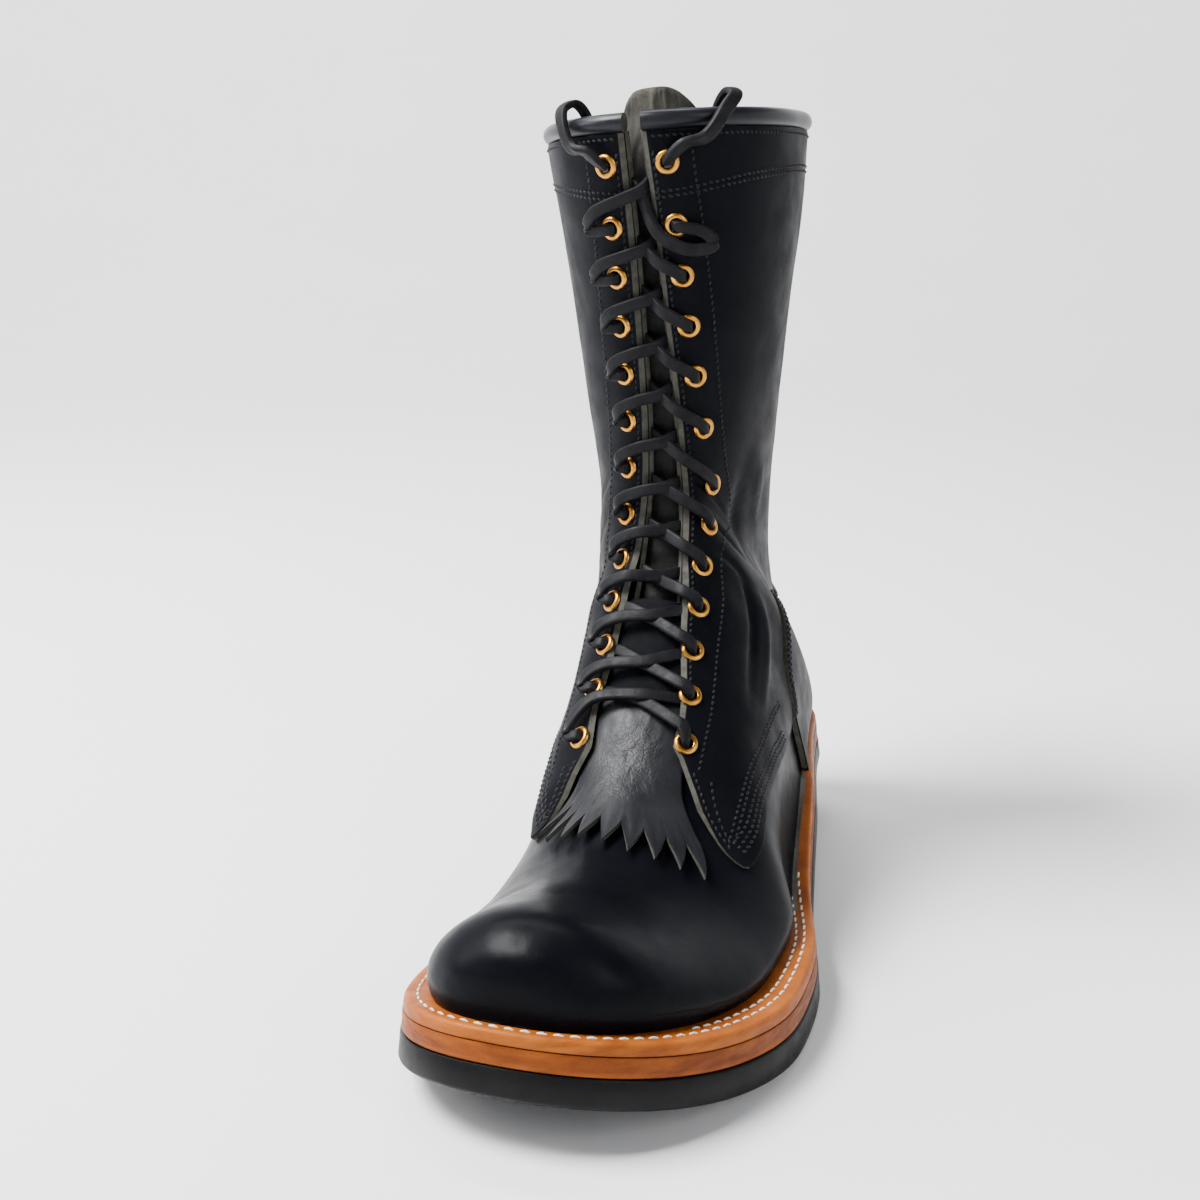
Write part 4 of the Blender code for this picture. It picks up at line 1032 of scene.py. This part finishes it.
def at_ridge(s, x, grow):
    """Points over the throat: section, signed distance from the ridge, and growth above the upper's form."""
    s, x, grow = (np.asarray(v, dtype=float) for v in (s, x, grow))
    side = np.where(x >= 0, 1.0, -1.0)
    t = np.where(np.abs(x) > 0.05, share(s, np.abs(x), side), 0.0)
    return form(s, t, side) + outward(s, t, side) * grow[..., None]


def rounded(points):
    """A smooth curve through points."""
    steps = np.linalg.norm(np.diff(points, axis=0), axis=1) ** 0.5
    run = np.concatenate(((0,), np.cumsum(steps)))
    fine = np.concatenate([np.linspace(a, b, LACE_STEPS, endpoint=False) for a, b in zip(run, run[1:])] + [run[-1:]])
    return smooth(np.column_stack((run, points)), fine)


def lace_run(way):
    """Stops of one run, climbing from the lowest pair: section, distance from the ridge, growth, width."""
    stops = []
    for row in range(EYELETS - 1, -1, -1):
        s, half = eyelet_s[row], eyelet_half[row]
        top = float(quarter_top(np.array(s), share(np.array(s), half, way)))
        if row == 0:
            stops += [(s, way * half, grow, width) for grow, width in ((-3.4, 3.6), (-0.5, 3.6), (top + 0.8, 3.8))]
            break
        rise, far = eyelet_s[row - 1] - s, eyelet_half[row - 1]
        gap = float(smooth(THROAT_GAPS, np.array(s + 0.6 * rise))[0])
        bow = SLACK[row][0 if way > 0 else 1]
        over_kiltie = s + 0.6 * rise < KILTIE_TOP - 0.1
        middle = (2.9 if over_kiltie else -0.5) + (2.0 if way < 0 else 0.0)
        near = (half - gap) / (half + far)
        beyond = (half + gap * 0.9) / (half + far)
        level = (0.24 if way < 0 else 0.1) if row == EYELETS - 1 else 0.0
        run = [(0, half, -3.4, RING_WIDTH), (0, half, -0.5, RING_WIDTH), (0, half * 0.99, top + 1.5, 3.8)]
        if bow and way < 0:
            run += [(0.06, half + bow, top + 2.6 + 0.12 * bow, RUN_WIDTH),
                    (0.30, half + bow * 0.6 - 0.6, top + 3.2 + 0.12 * bow, RUN_WIDTH),
                    (0.46 + level / 2, max(half * 0.55, gap), top + 2.4, RUN_WIDTH)]
        elif bow:
            run += [(-0.08, half + bow * 0.8, top + 3.4, RUN_WIDTH), (-0.26, half + bow, top + 4.0, RUN_WIDTH),
                    (-0.34, half + bow * 0.3, top + 3.6, RUN_WIDTH), (-0.1, half * 0.5, top + 2.2, RUN_WIDTH)]
        else:
            run += [(0.09 + level, half * 0.86, top + 2.6, RUN_WIDTH), (near + level, gap, top + 2.3, RUN_WIDTH)]
        run += [(0.56 + level / 3, -0.06 * half, middle, RUN_WIDTH),
                (beyond - level / 4, -gap * 0.9, 2.2 if over_kiltie else -2.3, RUN_WIDTH),
                (0.9, -far * 0.88, 1.8 if over_kiltie else -3.4, 4.0)]
        stops += [(s + up * rise, way * across, grow, width) for up, across, grow, width in run]
        way = -way
    return np.array(stops)


for name, first in (("a", 1), ("b", -1)):
    stops = lace_run(first)
    spots = rounded(at_ridge(*stops[:, :3].T))
    widths = np.interp(np.arange(len(spots)) / LACE_STEPS, np.arange(len(stops)), stops[:, 3])
    higher = rounded(at_ridge(stops[:, 0] + 0.15, stops[:, 1], stops[:, 2])) - spots
    ahead = np.gradient(spots, axis=0)
    lace = tube(f"lace_run_{name}", spots, np.cross(higher, ahead), widths, LACE_THICK, LACE_SIDES, lace_leather,
                LACE_SQUARE)
    if name == "a":
        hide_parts("lace")

# The two lace ends leave the top eyelets, run out over the rolled collar and hang down inside the shaft.
# They stay where the cord solids are: the same stops as in the part's source.
for name, way, away in (("lateral", 1, 19.0), ("medial", -1, 15.5)):
    s, half = eyelet_s[0], eyelet_half[0]
    rim = 2 * ROLL_RADIUS + GAP + 0.6 + 2.6
    stops = np.array((
        # section, distance from the ridge, growth, extra height
        (s, half, 2.6, 0.0),
        (s + 0.1, half + 0.05 * away, 4.8, 0.0),
        (s + 0.3, half + 0.25 * away, 6.0, 0.0),
        (COLLAR_ROW - 0.1, half + 0.55 * away, 6.6, 0.0),
        (COLLAR_ROW, half + 0.82 * away, 6.0, 6.5),
        (COLLAR_ROW, half + away, 3.0, rim - 0.4),
        (COLLAR_ROW, half + 1.05 * away, -2.6, rim + 0.3),
        (COLLAR_ROW, half + 1.05 * away, -7.2, 5.5),
        (COLLAR_ROW - 0.3, half + away, -8.0, 0.0),
        (COLLAR_ROW - 0.9, half + 0.95 * away, -8.0, 0.0),
    ))
    spots = at_ridge(stops[:, 0], way * stops[:, 1], stops[:, 2])
    spots[:, 2] += stops[:, 3]
    spots = rounded(spots)
    t = share(COLLAR_ROW, half + away * 0.9, way)
    lie = outward(np.full(len(spots), COLLAR_ROW), t, way)
    ahead = np.gradient(spots, axis=0)
    sideways = np.cross(lie, (0.0, 0.0, 1.0))
    up = np.cross(ahead, sideways)
    width = np.interp(np.linspace(0, 1, len(spots)), (0, 0.08, 0.2, 1), (3.8, 4.4, 4.8, 4.8))
    end = tube(f"lace_end_{name}_leather", spots, up, width, LACE_THICK, LACE_SIDES, lace_leather, LACE_SQUARE)
    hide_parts(f"lace_end_{name}")
    route = spots * MM
    route[:, 1] = HEEL_MIDDLE * MM - route[:, 1]


# Studio: a round sweep of pale paper, three soft boxes on the boot and one on the paper behind it.
# The camera stands where the photograph's did, turned to frame the one boot.
SWEEP_SIDES = 96
SWEEP_BEND = 1.6
paper = finish("paper_sweep", ((0.80, 0.80, 0.805), (0.82, 0.82, 0.825)), 4, rough=(0.85, 0.95), grain=(900, 0.02),
               specular=0.2)
profile = [(0.8, 0.0)]
profile += [(SWEEP_BEND + SWEEP_BEND * math.sin(a), SWEEP_BEND - SWEEP_BEND * math.cos(a))
            for a in np.linspace(0, math.pi / 2, 24)]
profile += [(2 * SWEEP_BEND, 2.0)]
turn = [2 * math.pi * k / SWEEP_SIDES for k in range(SWEEP_SIDES)]
faces = [list(range(SWEEP_SIDES - 1, -1, -1))] + bands(len(profile), SWEEP_SIDES)
mesh = bpy.data.meshes.new("sweep")
mesh.from_pydata([(r * math.sin(a), r * math.cos(a), z) for r, z in profile for a in turn], [], faces)
mesh.materials.append(paper)
mesh.shade_smooth()
sweep = bpy.data.objects.new("sweep", mesh)
bpy.context.scene.collection.objects.link(sweep)

world = bpy.data.worlds.new("studio")
world.use_nodes = True
glow = world.node_tree.nodes["Background"]
glow.inputs["Color"].default_value = (0.9, 0.93, 1.0, 1)
glow.inputs["Strength"].default_value = 0.2
bpy.context.scene.world = world
for name, spot, aim, size, power in (
    ("overhead", (-0.8, -0.5, 1.45), (0.0, -0.1, 0.1), (0.75, 0.65), 92.0),
    ("left", (-1.5, -0.55, 1.0), (0.0, -0.05, 0.12), (0.7, 0.9), 16.0),
    ("right", (1.4, -0.7, 1.0), (0.0, -0.05, 0.12), (0.6, 1.0), 9.0),
    ("backdrop", (-1.1, 0.9, 2.6), (-1.1, 2.9, 0.6), (2.8, 0.8), 150.0),
):
    lamp = bpy.data.lights.new(name, "AREA")
    lamp.shape = "RECTANGLE"
    lamp.size, lamp.size_y = size
    lamp.energy = power
    obj = bpy.data.objects.new(name, lamp)
    obj.location = spot
    way = np.array(aim) - np.array(spot)
    tilt, turn = math.atan2(math.hypot(way[0], way[1]), -way[2]), math.atan2(way[1], way[0]) - math.pi / 2
    obj.rotation_euler = (tilt, 0.0, turn)
    bpy.context.scene.collection.objects.link(obj)

CAMERA = (0.13917, -0.60707, 0.25510)
CAMERA_LENS = 44.55
CAMERA_PITCH = 14.10
CAMERA_AZIMUTH = 18.41
lens = bpy.data.cameras.new("camera")
lens.lens = CAMERA_LENS
lens.sensor_width = 36.0
lens.clip_start = 0.01
camera = bpy.data.objects.new("camera", lens)
camera.location = CAMERA
camera.rotation_euler = (math.radians(90 - CAMERA_PITCH), 0.0, math.radians(CAMERA_AZIMUTH))
bpy.context.scene.collection.objects.link(camera)
bpy.context.scene.camera = camera
